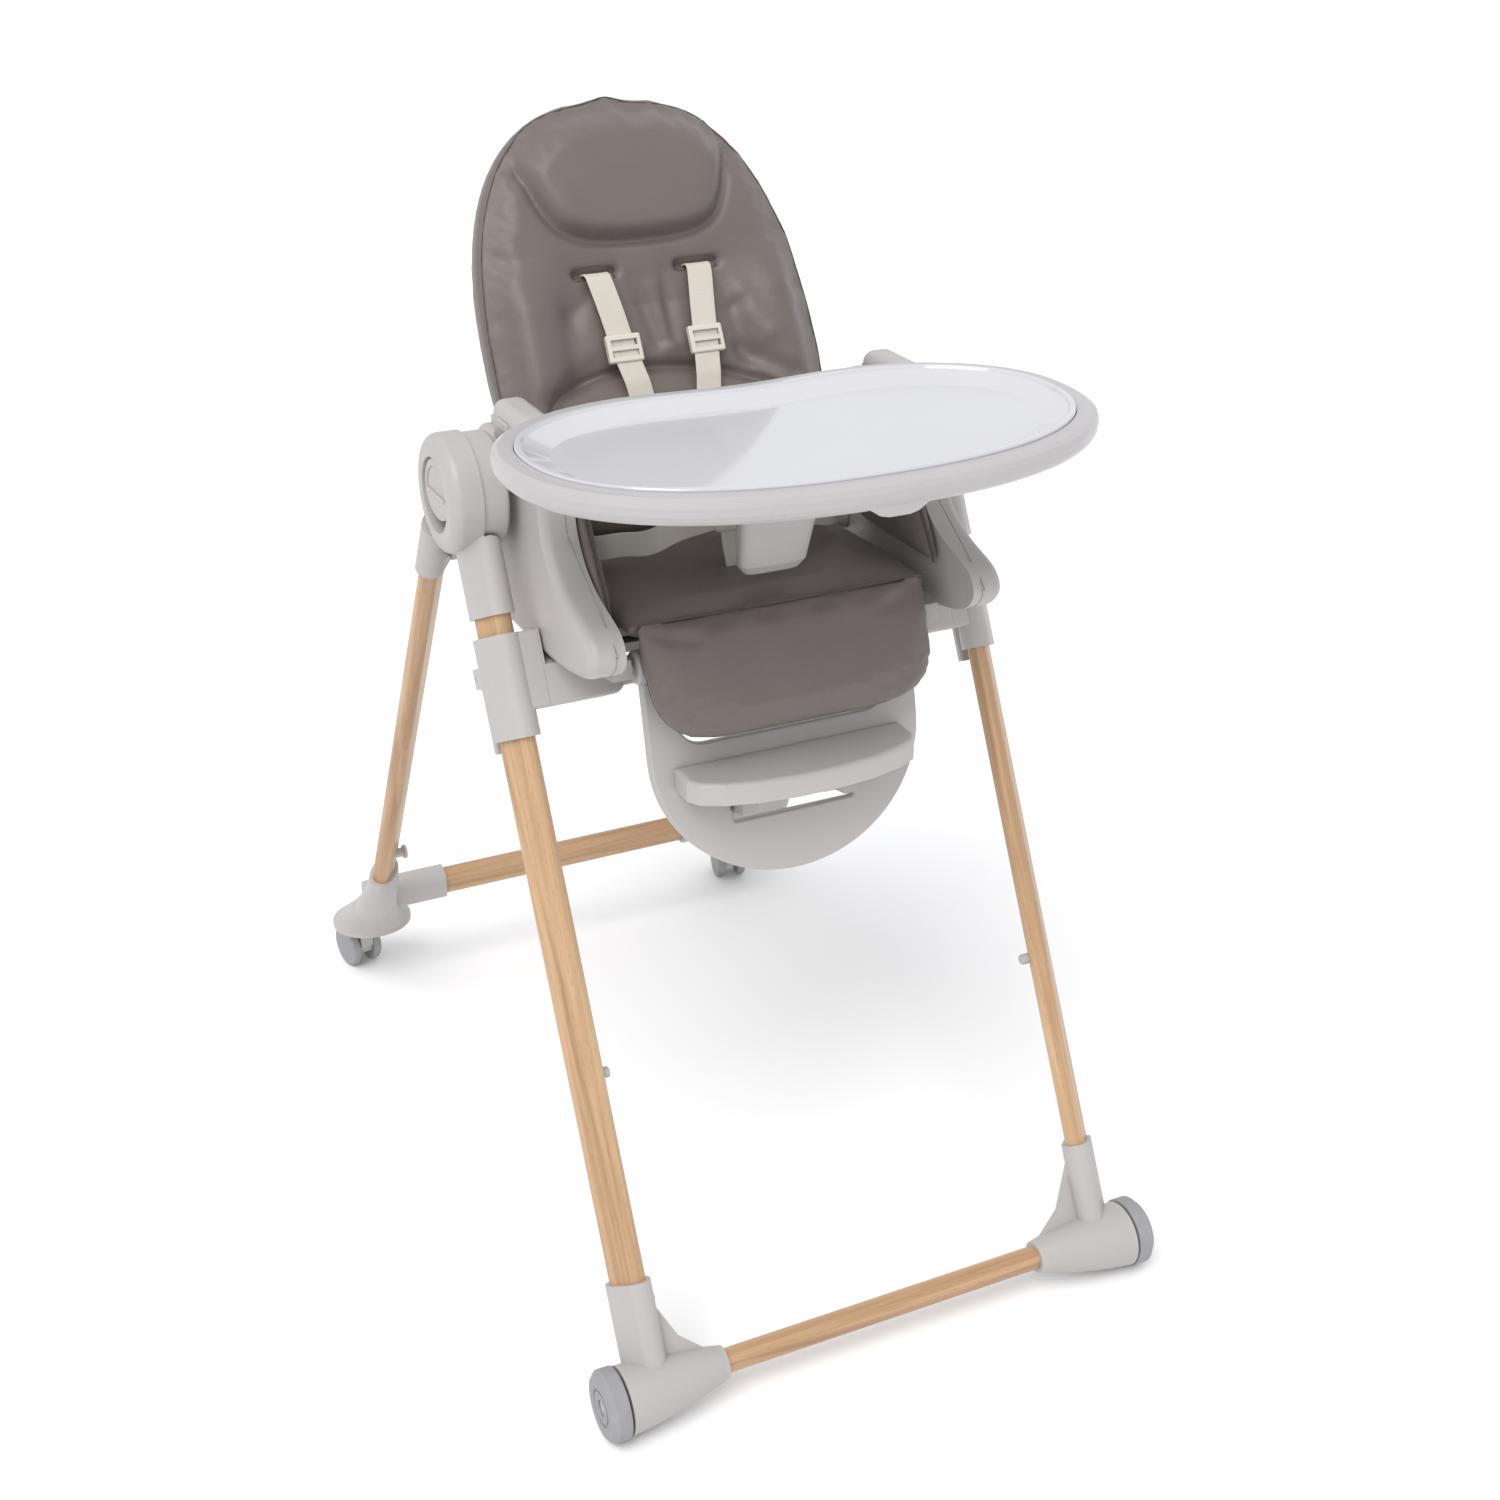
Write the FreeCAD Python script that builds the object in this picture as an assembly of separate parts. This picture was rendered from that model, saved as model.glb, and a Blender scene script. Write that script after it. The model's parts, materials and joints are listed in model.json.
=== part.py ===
import FreeCAD, Part
import math
import os

# Folding baby high chair.  Millimetres, +Z up, floor at z = 0, the child faces -Y.
# The chair is symmetric about x = 0.  Names with "left" are on the -X side.

V = FreeCAD.Vector

# ---- driving dimensions ------------------------------------------------------------------------
HUB_Y, HUB_Z = -56.0, 732.5            # axis of the fold, parallel to X
HUB_R = 52.5                           # outer hub casing
HUB_OUT, HUB_SPLIT, HUB_IN = 256.0, 228.5, 204.0
FRONT_LEAN, REAR_LEAN = 26.95, 30.75   # legs from the vertical, degrees
FRONT_X, REAR_X = 230.0, 240.0         # leg centre lines
FRONT_OFFSET, REAR_OFFSET = 10.9, 16.2  # leg lines from the hub axis
LEG_W, LEG_T, LEG_TURN = 34.0, 18.0, 50.0  # oval leg section and its turn outward
SLEEVE_WALL = 4.0
SLIDE_GAP = 0.3
FRONT_LEG_SPAN = (56.0, 752.0)         # distances down the leg from the hub
REAR_LEG_SPAN = (58.0, 688.0)
HUB_SLEEVE_END = 111.4
FRONT_SOCKET_TOP = 694.5
REAR_SOCKET_TOP = 643.0
SLIDER_SPAN = (128.5, 218.0)
STOP_PEG_AT = 514.5

FRONT_BAR_Y, FRONT_BAR_Z, FRONT_BAR_R = -425.5, 38.0, 11.0
WHEEL_R, WHEEL_IN, WHEEL_OUT = 32.0, 258.8, 276.0
REAR_BAR_Y, REAR_BAR_Z, REAR_BAR_H, REAR_BAR_D = 365.0, 115.0, 32.0, 20.0
CASTER_R, CASTER_TRAIL = 25.0, 23.0
CASTER_STEM_Y, CASTER_STEM_X, CASTER_SWIVEL = 400.8, 238.0, 12.0

TRAY_Y, TRAY_A, TRAY_FRONT, TRAY_REAR = -240.5, 258.0, 170.0, 149.0
TRAY_Z0, TRAY_Z1, TRAY_POWER, TRAY_DIP = 793.0, 815.0, 2.28, 27.0
TRAY_FLOOR, TRAY_CEILING = 804.0, 797.5  # top and underside of the plate the insert lies on

SIDE_IN, SIDE_OUT = 164.0, 195.0       # seat side shells
BACK_LEAN = 29.0
BACK_Y, BACK_Z = -41.6, 660.0          # foot of the backrest's front seam plane
BACK_A, BACK_B, BACK_MID, BACK_POWER = 161.0, 249.0, 160.0, 2.5
RECLINE_Y, RECLINE_Z = -13.4, 638.6
LEGREST_Y, LEGREST_Z = -199.0, 605.0
PANEL_LEAN, PANEL_A, PANEL_B = 12.87, 131.0, 120.0
PAD_LEAN, PAD_LENGTH = 26.26, 73.0      # legrest cushion: lean from the vertical, pivot to its lower edge
PANEL_LOW = 206.0                      # pivot to the panel's lowest edge
PANEL_SKIN = 4.5                       # half its thickness
SLOT_LOW, SLOT_HIGH = 152.0, 96.0      # footboard slot, below the pivot
BOARD_Z = 517.0                        # top of the footboard
BUCKLE_Y, BUCKLE_Z = -112.0, 700.0
STRAP_SLOT_X, STRAP_SLOT_UP = 51.0, 244.0
ADJUSTER_X, ADJUSTER_UP = 41.0, 170.0


def rad(angle):
    return math.radians(angle)


# ---- building blocks ---------------------------------------------------------------------------
def box(x0, x1, y0, y1, z0, z1):
    return Part.makeBox(x1 - x0, y1 - y0, z1 - z0, V(x0, y0, z0))


def rod_x(x0, x1, y, z, radius):
    return Part.makeCylinder(radius, x1 - x0, V(x0, y, z), V(1, 0, 0))


def rod_z(z0, z1, x, y, radius):
    return Part.makeCylinder(radius, z1 - z0, V(x, y, z0), V(0, 0, 1))


def polygon_prism(points, direction):
    wire = Part.makePolygon(points + [points[0]])
    return Part.Face(wire).extrude(direction)


def side_prism(outline, x0, x1):
    """Outline in (y, z) extruded along X from x0 to x1."""
    return polygon_prism([V(x0, y, z) for y, z in outline], V(x1 - x0, 0, 0))


def smooth_wire(points):
    curve = Part.BSplineCurve()
    curve.interpolate(points, PeriodicFlag=True)
    return Part.Wire([curve.toShape()])


def smooth_prism(points, direction):
    return Part.Face(smooth_wire(points)).extrude(direction)


def soften(shape, radius, chosen):
    """Round the edges for which chosen(edge) is true."""
    edges = [edge for edge in shape.Edges if chosen(edge)]
    return shape.makeFillet(radius, edges)


def edge_middle(edge):
    return edge.valueAt((edge.FirstParameter + edge.LastParameter) / 2)


def along(edge, axis):
    """True for a straight edge parallel to the axis."""
    if len(edge.Vertexes) < 2:
        return False
    run = edge.Vertexes[1].Point - edge.Vertexes[0].Point
    return run.Length > 0.01 and abs(run.normalize().dot(axis)) > 0.999


def stadium(width, thickness, z=0.0):
    """Flat oval wire with round ends, its width along local X."""
    h, r = (width - thickness) / 2, thickness / 2
    edges = [Part.makeLine(V(-h, -r, z), V(h, -r, z)),
             Part.Arc(V(h, -r, z), V(h + r, 0, z), V(h, r, z)).toShape(),
             Part.makeLine(V(h, r, z), V(-h, r, z)),
             Part.Arc(V(-h, r, z), V(-h - r, 0, z), V(-h, -r, z)).toShape()]
    return Part.Wire(edges)


def moved(shape, placement):
    shape = shape.copy()
    shape.Placement = placement.multiply(shape.Placement)
    return shape


def mirrored(shape):
    return shape.mirror(V(0, 0, 0), V(1, 0, 0))


def save(name, *shapes):
    solids = [solid for shape in shapes for solid in shape.Solids]
    result = solids[0] if len(solids) == 1 else Part.makeCompound(solids)
    if not result.isValid():
        print("not valid:", name)
    result.exportStep("parts/" + name + ".step")


def save_pair(name, shape):
    save(name + "_left", shape)
    save(name + "_right", mirrored(shape))


def save_both(name, shape):
    save(name, shape, mirrored(shape))


# ---- leg frames --------------------------------------------------------------------------------
FRONT_DOWN = V(0, -math.sin(rad(FRONT_LEAN)), -math.cos(rad(FRONT_LEAN)))
FRONT_OUT = V(0, -math.cos(rad(FRONT_LEAN)), math.sin(rad(FRONT_LEAN)))
REAR_DOWN = V(0, math.sin(rad(REAR_LEAN)), -math.cos(rad(REAR_LEAN)))
REAR_OUT = V(0, math.cos(rad(REAR_LEAN)), math.sin(rad(REAR_LEAN)))


def leg_point(front, t, out=0.0, x=None):
    """Point t down a left leg's centre line, moved `out` away from the other legs."""
    down, away, offset = (FRONT_DOWN, FRONT_OUT, FRONT_OFFSET) if front else (REAR_DOWN, REAR_OUT, REAR_OFFSET)
    foot = V(-FRONT_X if front else -REAR_X, HUB_Y, HUB_Z) + away * offset
    point = foot + down * t + away * out
    if x is not None:
        point.x = x
    return point


def leg_placement(front, turned=True):
    """Local X across the broad faces, local Z down the leg, origin beside the hub."""
    down, away = (FRONT_DOWN, FRONT_OUT) if front else (REAR_DOWN, REAR_OUT)
    turn = rad(LEG_TURN) if turned else 0.0
    wide = V(-1, 0, 0) * math.cos(turn) - away * math.sin(turn)
    thin = down.cross(wide)
    return FreeCAD.Placement(leg_point(front, 0), FreeCAD.Rotation(wide, thin, down, "ZXY"))


def oval_bar(front, grow, t0, t1):
    """Left leg section grown by `grow` on every side, from t0 to t1 down the leg."""
    section = Part.Face(stadium(LEG_W + 2 * grow, LEG_T + 2 * grow, t0))
    return moved(section.extrude(V(0, 0, t1 - t0)), leg_placement(front))


def leg_box(front, x0, x1, out0, out1, t0, t1):
    """Box in leg coordinates: world X, away from the other legs, down the leg."""
    base = leg_point(front, 0, 0, 0)
    down, away = (FRONT_DOWN, FRONT_OUT) if front else (REAR_DOWN, REAR_OUT)
    corners = [base + away * a + down * t for a, t in ((out0, t0), (out1, t0), (out1, t1), (out0, t1))]
    for corner in corners:
        corner.x = x0
    return polygon_prism(corners, V(x1 - x0, 0, 0))


# ---- front frame -------------------------------------------------------------------------------
def front_leg():
    return oval_bar(True, 0, *FRONT_LEG_SPAN)


def front_crossbar():
    return rod_x(-205, 205, FRONT_BAR_Y, FRONT_BAR_Z, FRONT_BAR_R)


def front_foot():
    rings = [(-256.5, 32.2, 30.5), (-214.0, 34.5, 26.0), (-160.0, FRONT_BAR_Z, 14.6)]
    wires = [Part.Wire([Part.makeCircle(r, V(x, FRONT_BAR_Y, z), V(1, 0, 0))]) for x, z, r in rings]
    cone = Part.makeLoft(wires, True, False)
    sleeve = oval_bar(True, SLEEVE_WALL, FRONT_SOCKET_TOP, 770)
    web = polygon_prism([leg_point(True, 712, -4, -216), leg_point(True, 772, -4, -216),
                         leg_point(True, 772, -4, -172), leg_point(True, 752, -4, -196)], FRONT_OUT * 8)
    collar = rod_x(-258.4, -256, FRONT_BAR_Y, WHEEL_R, 8)
    nub = Part.makeSphere(3.2, leg_point(True, 712, 8, -214.5))
    foot = cone.fuse([sleeve, web, collar, nub]).removeSplitter()
    foot = foot.cut(oval_bar(True, 0, FRONT_SOCKET_TOP - 5, FRONT_LEG_SPAN[1]))
    foot = foot.cut(front_crossbar())
    return foot.cut(rod_x(-260, -236, FRONT_BAR_Y, WHEEL_R, 4))


def front_axle():
    return rod_x(-272, -236, FRONT_BAR_Y, WHEEL_R, 4).fuse(rod_x(-274.6, -272, FRONT_BAR_Y, WHEEL_R, 7))


def front_wheel():
    wheel = rod_x(-WHEEL_OUT, -WHEEL_IN, FRONT_BAR_Y, WHEEL_R, WHEEL_R)
    wheel = wheel.makeChamfer(4.5, [e for e in wheel.Edges if edge_middle(e).x < -WHEEL_OUT + 0.1])
    wheel = wheel.makeFillet(1.5, [e for e in wheel.Edges
                                   if edge_middle(e).x > -WHEEL_IN - 0.1 and not along(e, V(1, 0, 0))])
    groove = rod_x(-277, -275, FRONT_BAR_Y, WHEEL_R, 17).cut(rod_x(-278, -274, FRONT_BAR_Y, WHEEL_R, 14.5))
    wheel = wheel.cut(groove).cut(rod_x(-277, -271.7, FRONT_BAR_Y, WHEEL_R, 7.5))
    return wheel.cut(rod_x(-280, -250, FRONT_BAR_Y, WHEEL_R, 4.06))


def hub_housing():
    casing = rod_x(-HUB_OUT, -HUB_SPLIT, HUB_Y, HUB_Z, HUB_R)
    casing = casing.makeFillet(11, [e for e in casing.Edges
                                    if edge_middle(e).x < -HUB_OUT + 0.1])
    sleeve = oval_bar(True, SLEEVE_WALL, 10, HUB_SLEEVE_END)
    sleeve = sleeve.cut(rod_x(-HUB_SPLIT, -180, HUB_Y, HUB_Z, HUB_R + 1))
    boss = rod_x(-HUB_SPLIT, -HUB_IN, HUB_Y, HUB_Z, 14.95)
    body = casing.fuse([sleeve, boss]).removeSplitter()
    body = body.cut(rod_x(-HUB_OUT - 1, -242, HUB_Y, HUB_Z, 33))
    body = body.cut(rod_x(-243, -232, HUB_Y, HUB_Z, 12))
    body = body.cut(rod_x(-233, -200, HUB_Y, HUB_Z, 9))
    return body.cut(oval_bar(True, 0, FRONT_LEG_SPAN[0], HUB_SLEEVE_END + 2))


def hub_ring():
    return rod_x(-HUB_IN, -201.4, HUB_Y, HUB_Z, 22).cut(rod_x(-205, -200, HUB_Y, HUB_Z, 9.4))


def button_spring():
    return rod_x(-242.1, -232, HUB_Y, HUB_Z, 11.6).cut(rod_x(-243, -231, HUB_Y, HUB_Z, 9.4))


def fold_button():
    cap = rod_x(-254, -247.5, HUB_Y, HUB_Z, 31.6).common(rod_x(-255, -247, HUB_Y, HUB_Z + 20, 42))
    cap = cap.makeFillet(1.2, [e for e in cap.Edges if edge_middle(e).x < -253.9])
    recess = rod_x(-255, -253.1, HUB_Y, HUB_Z, 25).common(box(-256, -252, HUB_Y - 30, HUB_Y + 30,
                                                             HUB_Z + 1, HUB_Z + 30))
    bar = box(-254.8, -253, HUB_Y - 22, HUB_Y + 22, HUB_Z - 2, HUB_Z + 1)
    return cap.cut(recess).fuse([bar, rod_x(-248, -234, HUB_Y, HUB_Z, 8.95)]).removeSplitter()


def height_stop_peg():
    centre = leg_point(True, STOP_PEG_AT, 0, 0)
    peg = rod_x(-226, -209, centre.y, centre.z, 5)
    peg = peg.makeFillet(2, [e for e in peg.Edges if edge_middle(e).x > -209.1])
    return peg.cut(front_leg())


# ---- rear frame --------------------------------------------------------------------------------
def rear_leg():
    return oval_bar(False, 0, *REAR_LEG_SPAN)


def rear_crossbar():
    section = moved(Part.Face(stadium(REAR_BAR_H, REAR_BAR_D)),
                    FreeCAD.Placement(V(-205, REAR_BAR_Y, REAR_BAR_Z),
                                      FreeCAD.Rotation(V(0, 0, 1), V(0, -1, 0), V(1, 0, 0), "ZXY")))
    return section.extrude(V(410, 0, 0))


def rear_collar():
    grown = Part.Face(stadium(REAR_BAR_H + 8, REAR_BAR_D + 9))
    section = moved(grown, FreeCAD.Placement(V(-244, REAR_BAR_Y, REAR_BAR_Z),
                                             FreeCAD.Rotation(V(0, 0, 1), V(0, -1, 0), V(1, 0, 0), "ZXY")))
    return section.extrude(V(93, 0, 0))


def ellipse_ring(x, y, z, a, b, count=24):
    return [V(x + a * math.cos(2 * math.pi * k / count), y + b * math.sin(2 * math.pi * k / count), z)
            for k in range(count)]


def oval_ring(t, width, thickness, count=24):
    """Smooth oval ring around the left rear leg, started on its outboard side."""
    place = leg_placement(False)
    ring = []
    for k in range(count):
        angle = 2 * math.pi * k / count + rad(180 + LEG_TURN)
        x = width / 2 * math.copysign(abs(math.cos(angle)) ** 0.85, math.cos(angle))
        y = thickness / 2 * math.copysign(abs(math.sin(angle)) ** 0.85, math.sin(angle))
        ring.append(place.multVec(V(x, y, t)))
    return ring


def rear_foot():
    top = sorted_ring(oval_ring(REAR_SOCKET_TOP, LEG_W + 9, LEG_T + 9))
    middle = sorted_ring(oval_ring(684, LEG_W + 14, LEG_T + 16))
    skirt = Part.makeLoft([smooth_wire(top), smooth_wire(middle),
                           smooth_wire(sorted_ring(ellipse_ring(-234, 382, 84, 37, 36))),
                           smooth_wire(sorted_ring(ellipse_ring(-231, 395, 72, 45, 41)))], True, False)
    saucer = smooth_prism(sorted_ring(ellipse_ring(-231, 395, 66, 45, 41)), V(0, 0, 6))
    foot = skirt.fuse([saucer, rear_collar()]).removeSplitter()
    foot = foot.cut(oval_bar(False, 0, REAR_SOCKET_TOP - 6, REAR_LEG_SPAN[1]))
    foot = foot.cut(rear_crossbar())
    foot = foot.cut(rod_z(60, 86, -CASTER_STEM_X, CASTER_STEM_Y, 6.05))
    return foot


def sorted_ring(ring):
    """Start the ring at its point of least x and run it the same way round, seen from above."""
    cx = sum(p.x for p in ring) / len(ring)
    cy = sum(p.y for p in ring) / len(ring)
    turn = sum((ring[k].x - cx) * (ring[k - 1].y - cy) - (ring[k - 1].x - cx) * (ring[k].y - cy)
               for k in range(len(ring)))
    if turn > 0:
        ring = ring[::-1]
    start = min(range(len(ring)), key=lambda k: ring[k].x)
    return ring[start:] + ring[:start]


def rear_hub():
    disc = rod_x(-HUB_SPLIT + 0.3, -HUB_IN - 0.4, HUB_Y, HUB_Z, 50)
    disc = disc.makeFillet(4, [e for e in disc.Edges if edge_middle(e).x > -HUB_IN - 0.5])
    sleeve = oval_bar(False, SLEEVE_WALL, 20, HUB_SLEEVE_END)
    sleeve = sleeve.cut(rod_x(-280, -HUB_SPLIT + 0.3, HUB_Y, HUB_Z, HUB_R + 1.4))
    neck = polygon_prism([leg_point(False, 22, -20, -228.2), leg_point(False, 22, 18, -228.2),
                          leg_point(False, 98, 12, -228.2), leg_point(False, 98, -12, -228.2)], V(20, 0, 0))
    body = disc.fuse([sleeve, neck]).removeSplitter()
    body = body.cut(rod_x(-230, -200, HUB_Y, HUB_Z, 15))
    return body.cut(oval_bar(False, 0, REAR_LEG_SPAN[0], HUB_SLEEVE_END + 2))


def tray_storage_peg():
    centre = leg_point(False, 610, 0, 0)
    peg = rod_x(-236, -219, centre.y, centre.z, 5)
    head = rod_x(-221, -218, centre.y, centre.z, 7.5)
    return peg.fuse(head).removeSplitter().cut(rear_leg())


# ---- casters -----------------------------------------------------------------------------------
def caster_placement():
    """Local X along the wheels' axle, local Y away from the stem, origin on the axle."""
    turn = rad(CASTER_SWIVEL)
    across, away = V(math.cos(turn), math.sin(turn), 0), V(-math.sin(turn), math.cos(turn), 0)
    return FreeCAD.Placement(V(-CASTER_STEM_X, CASTER_STEM_Y, CASTER_R) + away * CASTER_TRAIL,
                             FreeCAD.Rotation(across, away, V(0, 0, 1), "ZXY"))


def caster_fork():
    hood = rod_x(-7.5, 7.5, 0, 4, 20.5).common(box(-8, 8, -30, 30, 0, 40))
    ear = rod_x(-7.5, -4.8, 3, 31, 4).fuse(box(-7.5, -4.8, -1, 7, 20, 31))
    neck = rod_z(19.5, 37, 0, -CASTER_TRAIL, 10)
    bridge = box(-7.5, 7.5, -CASTER_TRAIL, 0, 4, 28)
    stem = rod_z(36, 58, 0, -CASTER_TRAIL, 6)
    pin = rod_x(-17, 17, 0, 0, 3)
    plate = rod_z(36.8, 40.6, 0, -CASTER_TRAIL, 14)
    lower = box(-7.5, 7.5, -18, 9, -6, 5)
    body = hood.fuse([ear, mirrored(ear), neck, bridge, stem, plate, lower, pin]).removeSplitter()
    return moved(body.cut(rod_x(-8, 8, 3, 31, 2.05)), caster_placement())


def caster_wheels():
    wheel = rod_x(8.2, 18.2, 0, 0, CASTER_R)
    wheel = wheel.makeFillet(3.2, [e for e in wheel.Edges if not along(e, V(1, 0, 0))])
    wheel = wheel.cut(rod_x(0, 17.4, 0, 0, 3.06))
    return Part.makeCompound([moved(wheel, caster_placement()), moved(mirrored(wheel), caster_placement())])


def caster_brake():
    lever = side_prism([(27, 12), (31, 12), (33.5, 20), (28, 31), (6, 34.5), (0, 33), (0, 28.5), (6, 27.5),
                        (20, 26)], -4.4, 4.4)
    tab = side_prism([(27, 12), (31, 12), (33.5, 20), (28, 31), (20, 26)], -7, 7)
    body = lever.fuse([tab, rod_x(-7.4, 7.4, 3, 31, 2)]).removeSplitter()
    return moved(body, caster_placement())


# ---- seat carrier ------------------------------------------------------------------------------
def slider():
    sleeve = oval_bar(True, 5.0, *SLIDER_SPAN)
    block = leg_box(True, -228, -199.7, -17, 17, SLIDER_SPAN[0], 196)
    block = soften(block, 3, lambda e: along(e, V(1, 0, 0)))
    ears = leg_box(True, -248, -244, -30, -6, 152, 170)
    inner_ears = leg_box(True, -222, -218, -30, -6, 152, 170)
    body = sleeve.fuse([block, ears, inner_ears]).removeSplitter()
    body = body.cut(oval_bar(True, SLIDE_GAP, SLIDER_SPAN[0] - 5, SLIDER_SPAN[1] + 5))
    pivot = leg_point(True, 161, -25, 0)
    return body.cut(rod_x(-250, -216, pivot.y, pivot.z, 2.55))


def height_lever():
    plate = leg_box(True, -243.7, -222.3, -31, -21.5, 156, 228)
    plate = soften(plate, 3, lambda e: not along(e, V(1, 0, 0)) and edge_middle(e).z < 600)
    pivot = leg_point(True, 161, -25, 0)
    return plate.fuse(rod_x(-247.5, -218.5, pivot.y, pivot.z, 2.5)).removeSplitter()


def seat_crossbeam():
    arm = leg_box(True, -199.5, -129, -17, 17, SLIDER_SPAN[0], 196)
    arm = soften(arm, 12, lambda e: along(e, FRONT_OUT) and edge_middle(e).x > -130)
    arm = soften(arm, 3, lambda e: along(e, V(1, 0, 0)))
    arm = arm.cut(box(-197.5, -100, -250, 50, 602.4, 700))
    tube = leg_box(True, -135, 135, -12, 8, 166, 190)
    tube = soften(tube, 5, lambda e: along(e, V(1, 0, 0)))
    return arm.fuse([mirrored(arm), tube]).removeSplitter()


SIDE_NOSE = [(-150, 735), (-152, 722), (-161, 704), (-177, 687), (-200, 674), (-228, 665), (-250, 654),
             (-256, 640), (-246, 625), (-222, 615), (-190, 609), (-150, 605.5), (-110, 604)]


def seat_side_face(x):
    curve = Part.BSplineCurve()
    curve.interpolate([V(x, y, z) for y, z in SIDE_NOSE])
    rest = [V(x, y, z) for y, z in [SIDE_NOSE[-1], (-60, 604), (6, 608), (12, 640), (12, 772), (-150, 772),
                                    SIDE_NOSE[0]]]
    lines = [Part.makeLine(a, b) for a, b in zip(rest, rest[1:])]
    return Part.Face(Part.Wire([curve.toShape()] + lines))


def seat_side():
    face = seat_side_face(-SIDE_OUT)
    shell = face.extrude(V(SIDE_OUT - SIDE_IN, 0, 0))
    shell = soften(shell, 14, lambda e: along(e, V(1, 0, 0)) and edge_middle(e).z > 770)
    shell = soften(shell, 9, lambda e: edge_middle(e).x < -SIDE_OUT + 0.1)
    rail = box(-184, -176, -120, -4, 771, 780)
    shell = shell.fuse(rail).removeSplitter()
    shell = shell.cut(rod_x(-170, -160, RECLINE_Y, RECLINE_Z, 4.05))
    return shell


def seat_pan():
    pan = box(-163.8, 163.8, -212, 4, 604, 613)
    pan = pan.cut(rod_x(-170, 170, LEGREST_Y, LEGREST_Z, 36))
    horn = side_prism([(-190, 596), (-150, 604), (-150, 613), (-185, 619), (-206, 616), (-210, 600)], -158, -140)
    pan = pan.fuse([horn, mirrored(horn)]).removeSplitter()
    return pan.cut(rod_x(-170, 170, LEGREST_Y, LEGREST_Z, 4))


def seat_hinge_pins():
    recline = rod_x(-169, -146, RECLINE_Y, RECLINE_Z, 4)
    legrest = rod_x(-157, -118, LEGREST_Y, LEGREST_Z, 4)
    return recline.fuse(rod_x(-147.8, -145.6, RECLINE_Y, RECLINE_Z, 7)), legrest


def seat_cushion():
    cushion = side_prism([(-211, 650), (-28, 646), (-28, 618), (-200, 618), (-211, 640)], -146, 146)
    cushion = cushion.cut(rod_x(-170, 170, LEGREST_Y, LEGREST_Z, 36))
    return soften(cushion, 5, lambda e: along(e, V(0, 1, 0)) or (abs(edge_middle(e).z - 648) < 3
                                                             and abs(edge_middle(e).x) > 145))


def side_bolster():
    wing = side_prism([(-206, 652), (-198, 666), (-160, 716), (-140, 766), (0, 766), (-56, 665), (-60, 652)],
                      -163, -148)
    return soften(wing, 4, lambda e: edge_middle(e).x > -148.1)


# ---- harness -----------------------------------------------------------------------------------
def strap(points, width, thickness, across=V(1, 0, 0)):
    """Flat webbing through points of its middle line; its width runs along `across`."""
    span = across * width
    pieces = []
    for a, b in zip(points, points[1:]):
        half = (b - a).cross(across).normalize() * (thickness / 2)
        corners = [p - span * 0.5 for p in (a - half, b - half, b + half, a + half)]
        pieces.append(polygon_prism(corners, span))
    bends = [Part.makeCylinder(thickness / 2, width, p - span * 0.5, across) for p in points[1:-1]]
    return pieces[0].fuse(pieces[1:] + bends).removeSplitter()


def crotch_strap():
    return strap([V(0, -122, 651), V(0, -118, 668), V(0, BUCKLE_Y, BUCKLE_Z - 21)], 26, 2)


def lap_strap():
    route = [V(-138, -62, 668), V(-112, -88, 672), V(-62, -109, 684), V(-20, BUCKLE_Y, BUCKLE_Z - 5)]
    return strap(route, 22, 1.8, V(0, 0.18, 0.98).normalize())


def harness_buckle():
    shell = box(-19, 19, BUCKLE_Y - 6, BUCKLE_Y + 6, BUCKLE_Z - 20, BUCKLE_Z + 20)
    shell = soften(shell, 4, lambda e: True)
    shell = shell.cut(rod_y(BUCKLE_Y - 7, BUCKLE_Y - 1.9, 0, BUCKLE_Z - 2, 9.3))
    return shell


def rod_y(y0, y1, x, z, radius):
    return Part.makeCylinder(radius, y1 - y0, V(x, y0, z), V(0, 1, 0))


def buckle_button():
    return rod_y(BUCKLE_Y - 7.2, BUCKLE_Y - 4.2, 0, BUCKLE_Z - 2, 9.24)


# ---- backrest ----------------------------------------------------------------------------------
BACK_UP = V(0, math.sin(rad(BACK_LEAN)), math.cos(rad(BACK_LEAN)))
BACK_FRONT = V(0, -math.cos(rad(BACK_LEAN)), math.sin(rad(BACK_LEAN)))


def back_point(x, up, front):
    return V(x, BACK_Y, BACK_Z) + BACK_UP * up + BACK_FRONT * front


def back_half_width(up, inset=0.0):
    if up >= BACK_MID:
        share = min(1.0, (up - BACK_MID) / (BACK_B - inset))
        return (BACK_A - inset) * (1 - share ** BACK_POWER) ** (1 / BACK_POWER)
    return BACK_A - inset - 17.0 * ((BACK_MID - up) / BACK_MID) ** 1.4


def back_outline(inset, low, front):
    """Closed outline: an egg-shaped top on gently tapering sides."""
    top = BACK_MID + BACK_B - inset
    levels = [low + (BACK_MID - low) * k / 4 for k in range(5)]
    angles = [rad(a) for a in range(15, 90, 15)]
    levels += [BACK_MID + (BACK_B - inset) * math.sin(a) ** (2 / BACK_POWER) for a in angles]
    right = [back_point(back_half_width(level, inset), level, front) for level in levels]
    left = [V(-p.x, p.y, p.z) for p in reversed(right)]
    curve = Part.BSplineCurve()
    curve.interpolate(right + [back_point(0, top, front)] + left)
    base = Part.makeLine(left[-1], right[0])
    return Part.Wire([curve.toShape(), base])


def backrest_cushion():
    face = Part.Face(back_outline(0, 10, 0))
    cushion = face.extrude(BACK_FRONT * -36)
    slots = [strap_slot(x, STRAP_SLOT_UP, -40, 4) for x in (-STRAP_SLOT_X, STRAP_SLOT_X)]
    return cushion.cut(slots[0]).cut(slots[1])


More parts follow.
